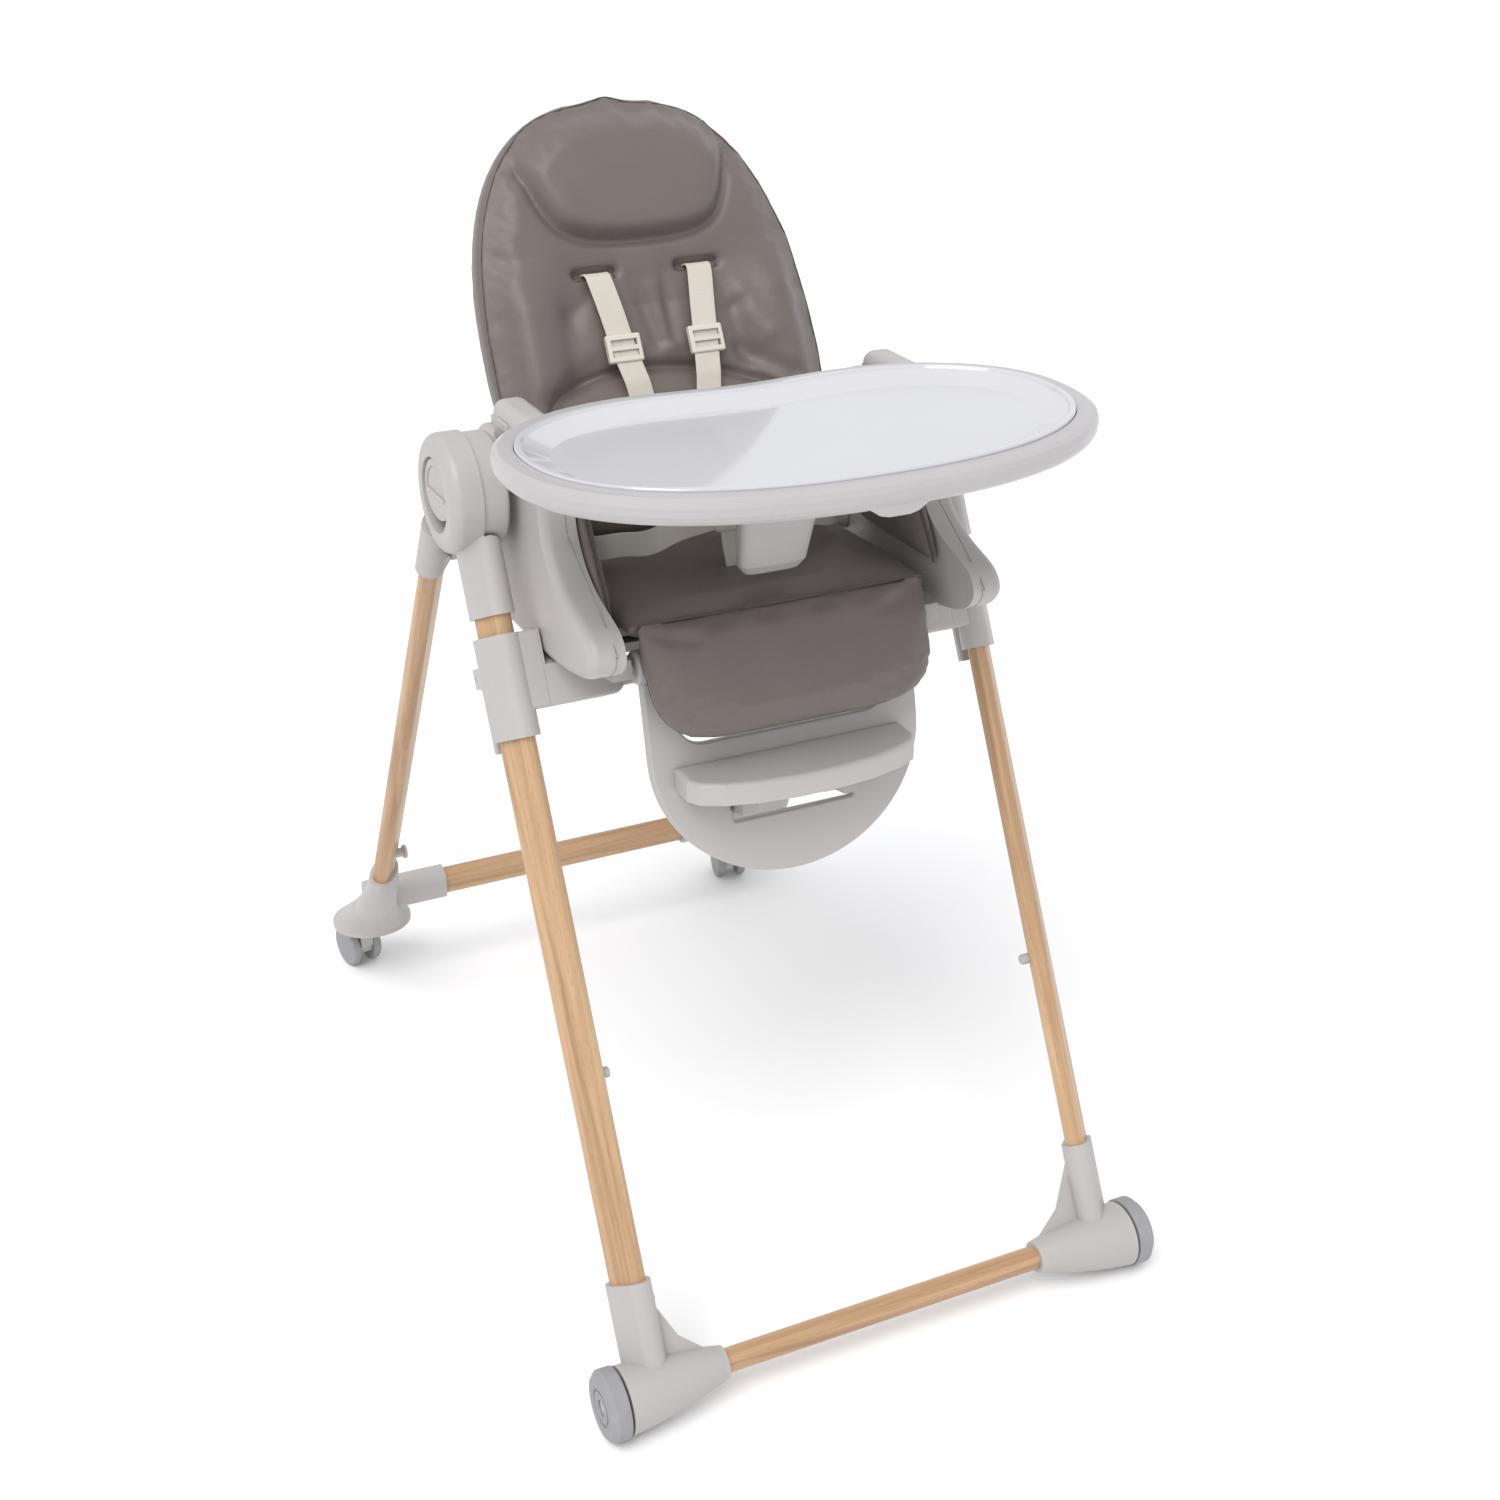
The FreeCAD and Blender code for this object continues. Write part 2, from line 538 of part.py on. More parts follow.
def strap_slot(x, up, front0, front1):
    base = [back_point(x + dx, up + du, front0) for dx, du in ((-15, -4), (15, -4), (15, 4), (-15, 4))]
    return polygon_prism(base, BACK_FRONT * (front1 - front0))


def backrest_shell():
    shell = Part.Face(back_outline(7, 26, -36.4)).extrude(BACK_FRONT * -12)
    well = Part.Face(back_outline(26, 60, -45)).extrude(BACK_FRONT * -8)
    shell = shell.cut(well)
    rib = polygon_prism([back_point(-14, 40, -44), back_point(14, 40, -44), back_point(14, 250, -44),
                         back_point(-14, 250, -44)], BACK_FRONT * -4.4)
    lug = rod_x(-162.6, -148, RECLINE_Y, RECLINE_Z, 14)
    outline = [(-8, -27), (8, -30), (16, -36.4), (60, -36.4), (60, -48.4), (-8, -47)]
    neck = polygon_prism([back_point(-158, up, front) for up, front in outline], V(11.5, 0, 0))
    root = polygon_prism([back_point(-158, 30, -36.4), back_point(-158, 66, -36.4),
                          back_point(-158, 60, -48.4), back_point(-158, 30, -48.4)], V(22, 0, 0))
    neck = neck.fuse(root)
    for x in (-STRAP_SLOT_X, STRAP_SLOT_X):
        shell = shell.cut(strap_slot(x, STRAP_SLOT_UP, -60, 0))
    body = shell.fuse([rib, lug, neck, mirrored(lug), mirrored(neck)]).removeSplitter()
    bore = rod_x(-170, 170, RECLINE_Y, RECLINE_Z, 4.05)
    head = rod_x(-148.2, 148.2, RECLINE_Y, RECLINE_Z, 7.4)
    guide = polygon_prism([back_point(-44, 290, -60), back_point(44, 290, -60), back_point(44, 345, -60),
                           back_point(-44, 345, -60)], BACK_FRONT * 18)
    return body.cut(bore).cut(head).cut(guide)


def recline_handle():
    plate = polygon_prism([back_point(-43, 291, -42.4), back_point(43, 291, -42.4), back_point(43, 326, -42.4),
                           back_point(-43, 326, -42.4)], BACK_FRONT * -10)
    plate = soften(plate, 4, lambda e: abs((edge_middle(e) - back_point(0, 308, -52.4)).dot(BACK_FRONT)) < 0.1)
    grip = polygon_prism([back_point(-32, 297, -48), back_point(32, 297, -48), back_point(32, 313, -48),
                          back_point(-32, 313, -48)], BACK_FRONT * -8)
    return plate.cut(grip)


def pillow_outline(front):
    """Headrest pad: follows the backrest's top, with a bowed lower edge."""
    right = [back_point(0, 268, front), back_point(40, 271, front), back_point(74, 283, front),
             back_point(92, 306, front), back_point(101, 335, front), back_point(108, 358, front),
             back_point(96, 376, front), back_point(62, 391, front), back_point(30, 397, front)]
    left = [V(-p.x, p.y, p.z) for p in reversed(right[1:])]
    return right + [back_point(0, 399, front)] + left


def headrest_pillow():
    return smooth_prism(pillow_outline(0.4), BACK_FRONT * 17)


def shoulder_strap():
    """From the slot down the front of the backrest, converging on the buckle."""
    slot, guide = STRAP_SLOT_X, ADJUSTER_X
    route = [back_point(-slot, STRAP_SLOT_UP, -34), back_point(-slot, STRAP_SLOT_UP, 3),
             back_point(-slot + 1, STRAP_SLOT_UP - 8, 7), back_point(-guide, ADJUSTER_UP, 9),
             back_point(-33, 118, 13), V(-24, -66, 752), V(-14.5, BUCKLE_Y + 14, BUCKLE_Z + 27)]
    return strap(route, 25, 1.8)


def adjuster_box(half_width, half_height, front0, front1):
    base = [back_point(-ADJUSTER_X + dx, ADJUSTER_UP + du, front0)
            for dx, du in ((-half_width, -half_height), (half_width, -half_height),
                           (half_width, half_height), (-half_width, half_height))]
    return polygon_prism(base, BACK_FRONT * (front1 - front0))


def strap_adjuster():
    """Three-bar slide on each shoulder strap."""
    frame = soften(adjuster_box(17, 13, 5.4, 12.6), 2, lambda e: True)
    frame = frame.cut(adjuster_box(13, 8, 0, 18))
    bar = adjuster_box(13.5, 2, 10.3, 12.3)
    return frame.fuse(bar).removeSplitter().cut(shoulder_strap())


# ---- legrest -----------------------------------------------------------------------------------
PANEL_UP = V(0, math.sin(rad(PANEL_LEAN)), math.cos(rad(PANEL_LEAN)))
PANEL_FRONT = V(0, -math.cos(rad(PANEL_LEAN)), math.sin(rad(PANEL_LEAN)))
PAD_DOWN = V(0, -math.sin(rad(PAD_LEAN)), -math.cos(rad(PAD_LEAN)))
PAD_FRONT = V(0, -math.cos(rad(PAD_LEAN)), math.sin(rad(PAD_LEAN)))


def panel_point(x, below, front):
    """Point `below` the legrest pivot, measured down the footrest panel."""
    return V(x, LEGREST_Y, LEGREST_Z) - PANEL_UP * below + PANEL_FRONT * front


def pad_point(x, below, front):
    return V(x, LEGREST_Y, LEGREST_Z) + PAD_DOWN * below + PAD_FRONT * front


def panel_outline(front):
    middle = PANEL_LOW - PANEL_B
    arc = [panel_point(PANEL_A * math.cos(rad(a)), middle + PANEL_B * math.sin(rad(a)), front)
           for a in range(0, 181, 15)]
    curve = Part.BSplineCurve()
    curve.interpolate(arc)
    right_top, left_top = panel_point(PANEL_A, 0, front), panel_point(-PANEL_A, 0, front)
    return Part.Wire([curve.toShape(), Part.makeLine(arc[-1], left_top), Part.makeLine(left_top, right_top),
                      Part.makeLine(right_top, arc[0])])


def panel_box(x0, x1, below0, below1, front0, front1):
    base = [panel_point(x0, below0, front0), panel_point(x1, below0, front0),
            panel_point(x1, below1, front0), panel_point(x0, below1, front0)]
    return polygon_prism(base, PANEL_FRONT * (front1 - front0))


def pad_box(x0, x1, below0, below1, front0, front1):
    base = [pad_point(x0, below0, front0), pad_point(x1, below0, front0),
            pad_point(x1, below1, front0), pad_point(x0, below1, front0)]
    return polygon_prism(base, PAD_FRONT * (front1 - front0))


def legrest_panel():
    plate = Part.Face(panel_outline(-PANEL_SKIN)).extrude(PANEL_FRONT * (2 * PANEL_SKIN))
    opening = panel_box(-103, 103, -30, 76, -20, 20)
    opening = soften(opening, 26, lambda e: along(e, PANEL_FRONT)
                     and (edge_middle(e) - panel_point(0, 76, 0)).dot(PANEL_UP) < 1)
    slot = soften(panel_box(-60, 60, SLOT_HIGH, SLOT_LOW, -20, 20), 4, lambda e: along(e, PANEL_FRONT))
    plate = plate.cut(opening).cut(slot)
    plate = soften(plate, 2.5, lambda e: abs((edge_middle(e) - panel_point(0, 0, PANEL_SKIN)).dot(PANEL_FRONT))
                   < 0.05)
    lug = rod_x(-136, -119, LEGREST_Y, LEGREST_Z, 15)
    lug = lug.makeFillet(3, [e for e in lug.Edges if not along(e, V(1, 0, 0))])
    body = plate.fuse([lug, mirrored(lug)]).removeSplitter()
    return body.cut(rod_x(-170, 170, LEGREST_Y, LEGREST_Z, 4.05))


def legrest_support():
    plate = pad_box(-112, 112, 4, 50, 12.4, 16.4)
    cheek = pad_box(-112, -106, 14, 40, 3, 13)
    body = plate.fuse([cheek, mirrored(cheek)]).removeSplitter()
    return body.cut(legrest_panel())


def legrest_cushion():
    slab = pad_box(-136, 136, 0, PAD_LENGTH, 17, 34)
    roll = rod_x(-136, 136, LEGREST_Y, LEGREST_Z, 34).cut(rod_x(-140, 140, LEGREST_Y, LEGREST_Z, 17))
    roll = roll.common(side_prism([(LEGREST_Y, LEGREST_Z), (LEGREST_Y + 4, LEGREST_Z + 60),
                                   (LEGREST_Y - 60, LEGREST_Z + 60),
                                   (LEGREST_Y - 60 * math.cos(rad(PAD_LEAN)),
                                    LEGREST_Z + 60 * math.sin(rad(PAD_LEAN)))], -140, 140))
    right = [(134, -60), (134, 0), (131, 32), (120, 56), (98, 69), (66, PAD_LENGTH)]
    outline = [pad_point(x, below, 0) for x, below in right]
    outline += [pad_point(-x, below, 0) for x, below in reversed(right)]
    mask = polygon_prism(outline, PAD_FRONT * 60).fuse(polygon_prism(outline, PAD_FRONT * -60))
    return slab.fuse(roll).removeSplitter().common(mask)


def footboard():
    """Ledge with a bowed front and a hanging lip, on two lugs through the panel's slot."""
    back, reach, half = PANEL_SKIN + 1.2, 62.0, 111.0
    top = [(-half, back), (half, back), (half, back + 28)]
    bow = [(half * math.cos(rad(a)), back + 28 + (reach - 28) * math.sin(rad(a))) for a in range(20, 161, 20)]
    top += bow + [(-half, back + 28)]
    deck = polygon_prism([board_point(x, f, 0) for x, f in top], V(0, 0, -20))
    deck = soften(deck, 5, lambda e: abs(edge_middle(e).z - BOARD_Z) < 0.1 and edge_middle(e).y < BOARD_BACK - 3)
    inner = [(x * 0.96, back + 4 + (f - back) * 0.90) for x, f in top]
    deck = deck.cut(polygon_prism([board_point(x, f, -5) for x, f in inner], V(0, 0, -30)))
    lug = panel_box(-57.5, -42, 127, 143, -11, 22)
    riser = side_prism([(BOARD_BACK + 1, BOARD_Z - 4), (BOARD_BACK - 16, BOARD_Z - 4),
                        (BOARD_BACK - 30, BOARD_Z - 60), (BOARD_BACK - 10, BOARD_Z - 60)], -57.5, -42)
    riser = riser.common(panel_box(-80, 80, 80, 143, PANEL_SKIN + 1.2, 60))
    clip = panel_box(-66, -36, 124, 146, -11, -6)
    deck = deck.cut(panel_box(-130, 130, 40, 160, -30, PANEL_SKIN + 1.2))
    parts = [lug, riser, clip, mirrored(lug), mirrored(riser), mirrored(clip)]
    return deck.fuse(parts).removeSplitter()


BOARD_BACK = panel_point(0, (LEGREST_Z - BOARD_Z) / math.cos(rad(PANEL_LEAN)), 0).y


def board_point(x, forward, lift):
    return V(x, BOARD_BACK - forward, BOARD_Z + lift)


# ---- tray --------------------------------------------------------------------------------------
def tray_ring(inset, z, count=72):
    """Rounded tray outline, with a shallow hollow in the edge that faces the child."""
    ring = []
    for k in range(count):
        angle = 2 * math.pi * k / count
        c, s = math.cos(angle), math.sin(angle)
        depth = TRAY_REAR if s > 0 else TRAY_FRONT
        x = (TRAY_A - inset) * math.copysign(abs(c) ** (2 / TRAY_POWER), c)
        y = (depth - inset) * math.copysign(abs(s) ** (2 / TRAY_POWER), s)
        if s > 0:
            y -= TRAY_DIP * math.exp(-(x / 110.0) ** 2)
        ring.append(V(x, TRAY_Y + y, z))
    return ring


def tray_loft(levels):
    return Part.makeLoft([smooth_wire(tray_ring(inset, z)) for inset, z in levels], True, True)


def tray_base():
    shell = tray_loft([(7, TRAY_Z0), (3, TRAY_Z0 + 3.5), (0.7, TRAY_Z0 + 8), (0, TRAY_Z1 - 7),
                       (1.5, TRAY_Z1 - 2.4), (5.5, TRAY_Z1)])
    recess = smooth_prism(tray_ring(18, TRAY_FLOOR), V(0, 0, 30))
    cavity = smooth_prism(tray_ring(11, TRAY_Z0 - 5), V(0, 0, TRAY_CEILING - TRAY_Z0 + 5))
    return shell.cut(recess).cut(cavity).fuse(tray_tab()).removeSplitter()


def tray_tab():
    """Finger tab under the middle of the front skirt."""
    front = TRAY_Y - TRAY_FRONT + 3.2
    outline = [(-34, 5), (-25, 1), (-17, -4.5), (-9, -6.5), (9, -6.5), (17, -4.5), (25, 1), (34, 5)]
    tab = polygon_prism([V(x, front, TRAY_Z0 + z) for x, z in outline], V(0, 9, 0))
    return soften(tab, 1.5, lambda e: edge_middle(e).y < front + 0.1 and edge_middle(e).z < TRAY_Z0 + 4)


def tray_insert():
    body = tray_loft([(18.6, TRAY_FLOOR + 0.2), (18.6, TRAY_Z1 + 1), (19.4, TRAY_Z1 + 2.4)])
    well = tray_loft([(46, TRAY_Z1 - 8.4), (25, TRAY_Z1), (22, TRAY_Z1 + 4)])
    return body.cut(well)


def tray_arm():
    arm = box(-193, -166, -196, -40, 773, TRAY_Z0 - 0.1)
    arm = soften(arm, 3, lambda e: along(e, V(0, 1, 0)) and edge_middle(e).z < 774)
    pod = box(-196, -164, -114, -38, 773, 806)
    pod = soften(pod, 11, lambda e: edge_middle(e).z > 774)
    body = arm.fuse(pod).removeSplitter()
    body = body.cut(box(-184.5, -175.5, -200, 0, 770, 780.5))
    return body.cut(box(-197, -188, -84, -60, 785, 795))


def tray_release():
    button = box(-197.6, -192.3, -83.5, -60.5, 785.5, 794.5)
    return soften(button, 1.5, lambda e: edge_middle(e).x < -197.5)


def crotch_post():
    levels = [(TRAY_CEILING - 0.1, -216, 41, 14), (786, -215, 40.5, 14), (720, -199, 36, 12.5),
              (676, -188, 32, 10.5), (668, -186, 26, 7.5)]
    wires = [smooth_wire([V(a * math.copysign(abs(math.cos(u)) ** 0.6, math.cos(u)),
                            y + b * math.copysign(abs(math.sin(u)) ** 0.6, math.sin(u)), z)
                          for u in (2 * math.pi * k / 32 for k in range(32))]) for z, y, a, b in levels]
    return Part.makeLoft(wires, True, True)


def main():
    os.makedirs("parts", exist_ok=True)
    save_pair("front_leg", front_leg())
    save("front_crossbar", front_crossbar())
    save_pair("front_foot", front_foot())
    save_pair("hub_housing", hub_housing())
    save_both("front_wheel_axles", front_axle())
    save_both("hub_retaining_rings", hub_ring())
    save_both("button_return_springs", button_spring())
    save_both("height_stop_pegs", height_stop_peg())
    save_pair("front_wheel", front_wheel())
    save_pair("fold_button", fold_button())
    save_pair("rear_leg", rear_leg())
    save("rear_crossbar", rear_crossbar())
    save_pair("rear_foot", rear_foot())
    save_pair("rear_hub", rear_hub())
    save_both("tray_storage_pegs", tray_storage_peg())
    save_pair("caster_fork", caster_fork())
    save_pair("caster_wheels", caster_wheels())
    save_pair("caster_brake", caster_brake())
    save_pair("slider", slider())
    save_pair("height_lever", height_lever())
    save("seat_crossbeam", seat_crossbeam())
    save_pair("seat_side", seat_side())
    save("seat_pan", seat_pan())
    recline_pin, legrest_pin = seat_hinge_pins()
    save("seat_hinge_pins", recline_pin, mirrored(recline_pin), legrest_pin, mirrored(legrest_pin))
    save("seat_cushion", seat_cushion())
    save_both("side_bolsters", side_bolster())
    save("crotch_strap", crotch_strap())
    save_both("lap_straps", lap_strap())
    save("harness_buckle", harness_buckle())
    save("buckle_button", buckle_button())
    save("backrest_shell", backrest_shell())
    save("backrest_cushion", backrest_cushion())
    save("headrest_pillow", headrest_pillow())
    save("recline_handle", recline_handle())
    save_both("shoulder_straps", shoulder_strap())
    save_both("strap_adjusters", strap_adjuster())
    save("legrest_panel", legrest_panel())
    save("legrest_support", legrest_support())
    save("legrest_cushion", legrest_cushion())
    save("footboard", footboard())
    save("tray_base", tray_base())
    save("tray_insert", tray_insert())
    save_both("tray_arms", tray_arm())
    save_pair("tray_release", tray_release())
    save("crotch_post", crotch_post())


main()
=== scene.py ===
import json
import math

import bpy
import numpy as np
from mathutils import Matrix, Vector


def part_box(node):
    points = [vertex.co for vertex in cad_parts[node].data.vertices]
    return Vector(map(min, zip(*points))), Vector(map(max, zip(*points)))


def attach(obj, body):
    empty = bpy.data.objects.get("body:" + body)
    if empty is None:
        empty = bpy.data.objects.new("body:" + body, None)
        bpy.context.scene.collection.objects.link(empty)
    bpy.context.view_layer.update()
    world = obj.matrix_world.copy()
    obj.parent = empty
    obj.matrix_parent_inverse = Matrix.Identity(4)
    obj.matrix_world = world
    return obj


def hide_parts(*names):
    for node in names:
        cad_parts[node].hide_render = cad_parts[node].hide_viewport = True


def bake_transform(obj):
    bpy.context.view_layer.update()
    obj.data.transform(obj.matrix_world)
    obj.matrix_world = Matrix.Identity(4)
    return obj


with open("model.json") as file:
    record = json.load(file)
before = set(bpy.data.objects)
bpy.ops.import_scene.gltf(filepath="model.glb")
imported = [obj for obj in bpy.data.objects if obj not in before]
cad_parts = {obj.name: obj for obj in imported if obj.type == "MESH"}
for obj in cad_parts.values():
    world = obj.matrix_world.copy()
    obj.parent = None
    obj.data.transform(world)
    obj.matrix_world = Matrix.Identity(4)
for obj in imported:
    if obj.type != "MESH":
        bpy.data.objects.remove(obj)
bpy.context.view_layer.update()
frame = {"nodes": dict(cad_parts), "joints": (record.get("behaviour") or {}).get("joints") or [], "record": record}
RECORD = frame["record"]
JOINTS = {joint["name"]: joint for joint in frame["joints"]}

# Baby high chair.  Metres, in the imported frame: +Z up, the child faces -Y, "left" pieces lie at -X.


# ---- design frames read from the joints and boxes -----------------------------------------------
class Plane:
    """A piece's own axes: x across, `up` along it, `front` towards the child's side."""

    def __init__(self, origin, up, front):
        self.origin, self.up, self.front = Vector(origin), Vector(up), Vector(front)

    def at(self, x, up, front):
        return Vector((x, 0, 0)) + self.origin + self.up * up + self.front * front

    def local(self, points):
        """Rows of (x, up, front) for rows of world points."""
        rel = np.asarray(points, float) - np.array(self.origin)
        return np.stack([rel[:, 0], rel @ np.array(self.up), rel @ np.array(self.front)], 1)


def leaned(axis):
    """Unit vector along an axis in the YZ plane and the forward normal to it."""
    up = Vector(axis).normalized()
    return up, Vector((0, -up.z, up.y))


BACK_FOOT, BACK_THICK = 0.010, 0.036    # lower edge above the plane's origin, and the pad's depth
back_up, back_front = leaned(JOINTS["recline_handle_pull"]["axis"])
back_low, back_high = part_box("backrest_cushion")
BACK = Plane((0, back_low.y - BACK_FOOT * back_up.y, back_low.z - BACK_FOOT * back_up.z
              + BACK_THICK * back_front.z), back_up, back_front)
BACK_HALF = back_high.x
BACK_TOP = (back_high.z - BACK.origin.z) / back_up.z
BACK_MID = 0.160                        # where the sides start to close into the egg-shaped top
BACK_POWER = 2.5

PIVOT = Vector(JOINTS["legrest_lift"]["pos_m"])
PAD_LEAN = math.radians(26.26)
PAD = Plane(PIVOT, (0, math.sin(PAD_LEAN), math.cos(PAD_LEAN)),
            (0, -math.cos(PAD_LEAN), math.sin(PAD_LEAN)))
PAD_FACE, PAD_BACK = 0.0335, 0.0180      # the pad's faces in front of the pivot
# Half-width of the pad at heights on its plane: straight sides, then large round lower corners.
PAD_DROPS = (-0.036, 0.0, 0.032, 0.045, 0.056, 0.063, 0.069, 0.073)
PAD_HALVES = (0.138, 0.137, 0.135, 0.131, 0.123, 0.114, 0.101, 0.068)
CREASE_UP = 0.0335                       # the fold where the pad leaves the seat's front edge
CREASE = PAD.at(0, CREASE_UP, PAD_FACE)
PIVOT_REACH = 0.0363                     # the seat pad stays this far from the legrest's pivot


# ---- node materials ------------------------------------------------------------------------------
class Shader:
    """Small helper round one material's node tree, with object coordinates as the pattern space."""

    def __init__(self, name):
        self.material = bpy.data.materials.new(name)
        self.material.use_nodes = True
        self.nodes = self.material.node_tree.nodes
        self.links = self.material.node_tree.links
        self.surface = self.nodes["Principled BSDF"]
        self.coords = self.nodes.new("ShaderNodeTexCoord").outputs["Object"]

    def link(self, source, target):
        self.links.new(source, target)

    def mapping(self, scale, rotation=(0, 0, 0), source=None):
        node = self.nodes.new("ShaderNodeMapping")
        node.inputs["Scale"].default_value = scale
        node.inputs["Rotation"].default_value = rotation
        self.link(source or self.coords, node.inputs["Vector"])
        return node.outputs["Vector"]

    def noise(self, scale, detail=3.0, vector=None, roughness=0.55, distortion=0.0):
        node = self.nodes.new("ShaderNodeTexNoise")
        node.inputs["Scale"].default_value = scale
        node.inputs["Detail"].default_value = detail
        node.inputs["Roughness"].default_value = roughness
        node.inputs["Distortion"].default_value = distortion
        self.link(vector or self.coords, node.inputs["Vector"])
        return node.outputs["Fac"]

    def voronoi(self, scale, vector=None):
        """Distance to the nearest edge between cells."""
        node = self.nodes.new("ShaderNodeTexVoronoi")
        node.feature = "DISTANCE_TO_EDGE"
        node.inputs["Scale"].default_value = scale
        self.link(vector or self.coords, node.inputs["Vector"])
        return node.outputs["Distance"]

    def ramp(self, fac, stops):
        node = self.nodes.new("ShaderNodeValToRGB")
        elements = node.color_ramp.elements
        while len(elements) < len(stops):
            elements.new(0.5)
        for element, (position, colour) in zip(elements, stops):
            element.position = position
            element.color = (*colour, 1.0)
        self.link(fac, node.inputs["Fac"])
        return node.outputs["Color"]

    def span(self, fac, low, high, low_in=0.0, high_in=1.0):
        node = self.nodes.new("ShaderNodeMapRange")
        node.inputs["From Min"].default_value = low_in
        node.inputs["From Max"].default_value = high_in
        node.inputs["To Min"].default_value = low
        node.inputs["To Max"].default_value = high
        self.link(fac, node.inputs["Value"])
        return node.outputs["Result"]

    def math(self, operation, a, b):
        node = self.nodes.new("ShaderNodeMath")
        node.operation = operation
        for socket, value in zip(node.inputs, (a, b)):
            if isinstance(value, (int, float)):
                socket.default_value = value
            else:
                self.link(value, socket)
        return node.outputs["Value"]

    def mix(self, fac, a, b, blend="MIX"):
        node = self.nodes.new("ShaderNodeMix")
        node.data_type = "RGBA"
        node.blend_type = blend
        for name, value in (("Factor", fac), ("A", a), ("B", b)):
            socket = next(s for s in node.inputs if s.name == name and s.enabled)
            if isinstance(value, (int, float)):
                socket.default_value = value
            elif isinstance(value, tuple):
                socket.default_value = (*value, 1.0)
            else:
                self.link(value, socket)
        return next(s for s in node.outputs if s.enabled)

    def bump(self, height, strength, distance):
        node = self.nodes.new("ShaderNodeBump")
        node.inputs["Strength"].default_value = strength
        node.inputs["Distance"].default_value = distance
        self.link(height, node.inputs["Height"])
        if self.surface.inputs["Normal"].is_linked:
            self.link(self.surface.inputs["Normal"].links[0].from_socket, node.inputs["Normal"])
        self.link(node.outputs["Normal"], self.surface.inputs["Normal"])

    def edges(self, low=0.50, high=0.56):
        """0 on flat stretches and 1 on worn, convex edges."""
        node = self.nodes.new("ShaderNodeNewGeometry")
        return self.span(node.outputs["Pointiness"], 0.0, 1.0, low, high)

    def colour(self, socket):
        self.link(socket, self.surface.inputs["Base Color"])

    def rough(self, socket):
        self.link(socket, self.surface.inputs["Roughness"])

    def set(self, **values):
        for name, value in values.items():
            self.surface.inputs[name.replace("_", " ")].default_value = value


def scaled(colour, factor):
    return tuple(min(1.0, c * factor) for c in colour)


def moulded(name, colour, rough=(0.38, 0.52), grain=0.05, coat=0.0):
    """Moulded plastic: fine spark-eroded grain, faint flow marks, slightly paler worn edges."""
    s = Shader(name)
    flow = s.noise(9.0, 4.0, distortion=0.6)
    tone = s.ramp(flow, [(0.3, scaled(colour, 0.965)), (0.7, scaled(colour, 1.02))])
    s.colour(s.mix(s.math("MULTIPLY", s.edges(), 0.35), tone, scaled(colour, 1.12)))
    smudge = s.noise(28.0, 5.0)
    s.rough(s.span(smudge, rough[0], rough[1], 0.3, 0.7))
    s.bump(s.noise(2600.0, 2.0), grain, 0.0004)
    s.bump(flow, 0.06, 0.002)
    s.set(IOR=1.49, Coat_Weight=coat, Coat_Roughness=0.12)
    return s.material


def leatherette(name, colour):
    """Soft PU leatherette: pebble grain, painted shade in the creases between pebbles, broad tone changes, soft
    sheen.
    """
    s = Shader(name)
    warp = s.noise(140.0, 2.0)
    pebbles = s.voronoi(820.0, vector=s.mapping((1.0, 1.0, 1.0)))
    pores = s.noise(1700.0, 3.0)
    broad = s.noise(7.0, 3.0, distortion=0.5)
    tone = s.ramp(broad, [(0.30, scaled(colour, 0.93)), (0.55, colour), (0.75, scaled(colour, 1.07))])
    # painted shade: the base colour is darkened in the creases between pebbles
    crease_shade_mask = s.span(pebbles, 0.80, 1.0, 0.0, 0.16)
    painted_crease_shade = s.ramp(crease_shade_mask, [(0.8, (0.86, 0.85, 0.84)), (1.0, (1.0, 1.0, 1.0))])
    tone_with_crease_shade = s.mix(1.0, tone, painted_crease_shade, "MULTIPLY")
    s.colour(s.mix(s.math("MULTIPLY", s.edges(0.51, 0.60), 0.30), tone_with_crease_shade, scaled(colour, 1.25)))
    s.rough(s.span(s.math("ADD", s.math("MULTIPLY", warp, 0.5), s.math("MULTIPLY", broad, 0.5)),
                   0.30, 0.43, 0.35, 0.65))
    s.bump(s.span(pebbles, 0.0, 1.0, 0.0, 0.22), 0.22, 0.00035)
    s.bump(pores, 0.08, 0.0002)
    s.bump(s.noise(60.0, 3.0), 0.10, 0.0012)
    s.set(IOR=1.47, Sheen_Weight=0.10, Sheen_Roughness=0.45)
    s.surface.inputs["Sheen Tint"].default_value = (0.92, 0.90, 0.92, 1.0)
    return s.material


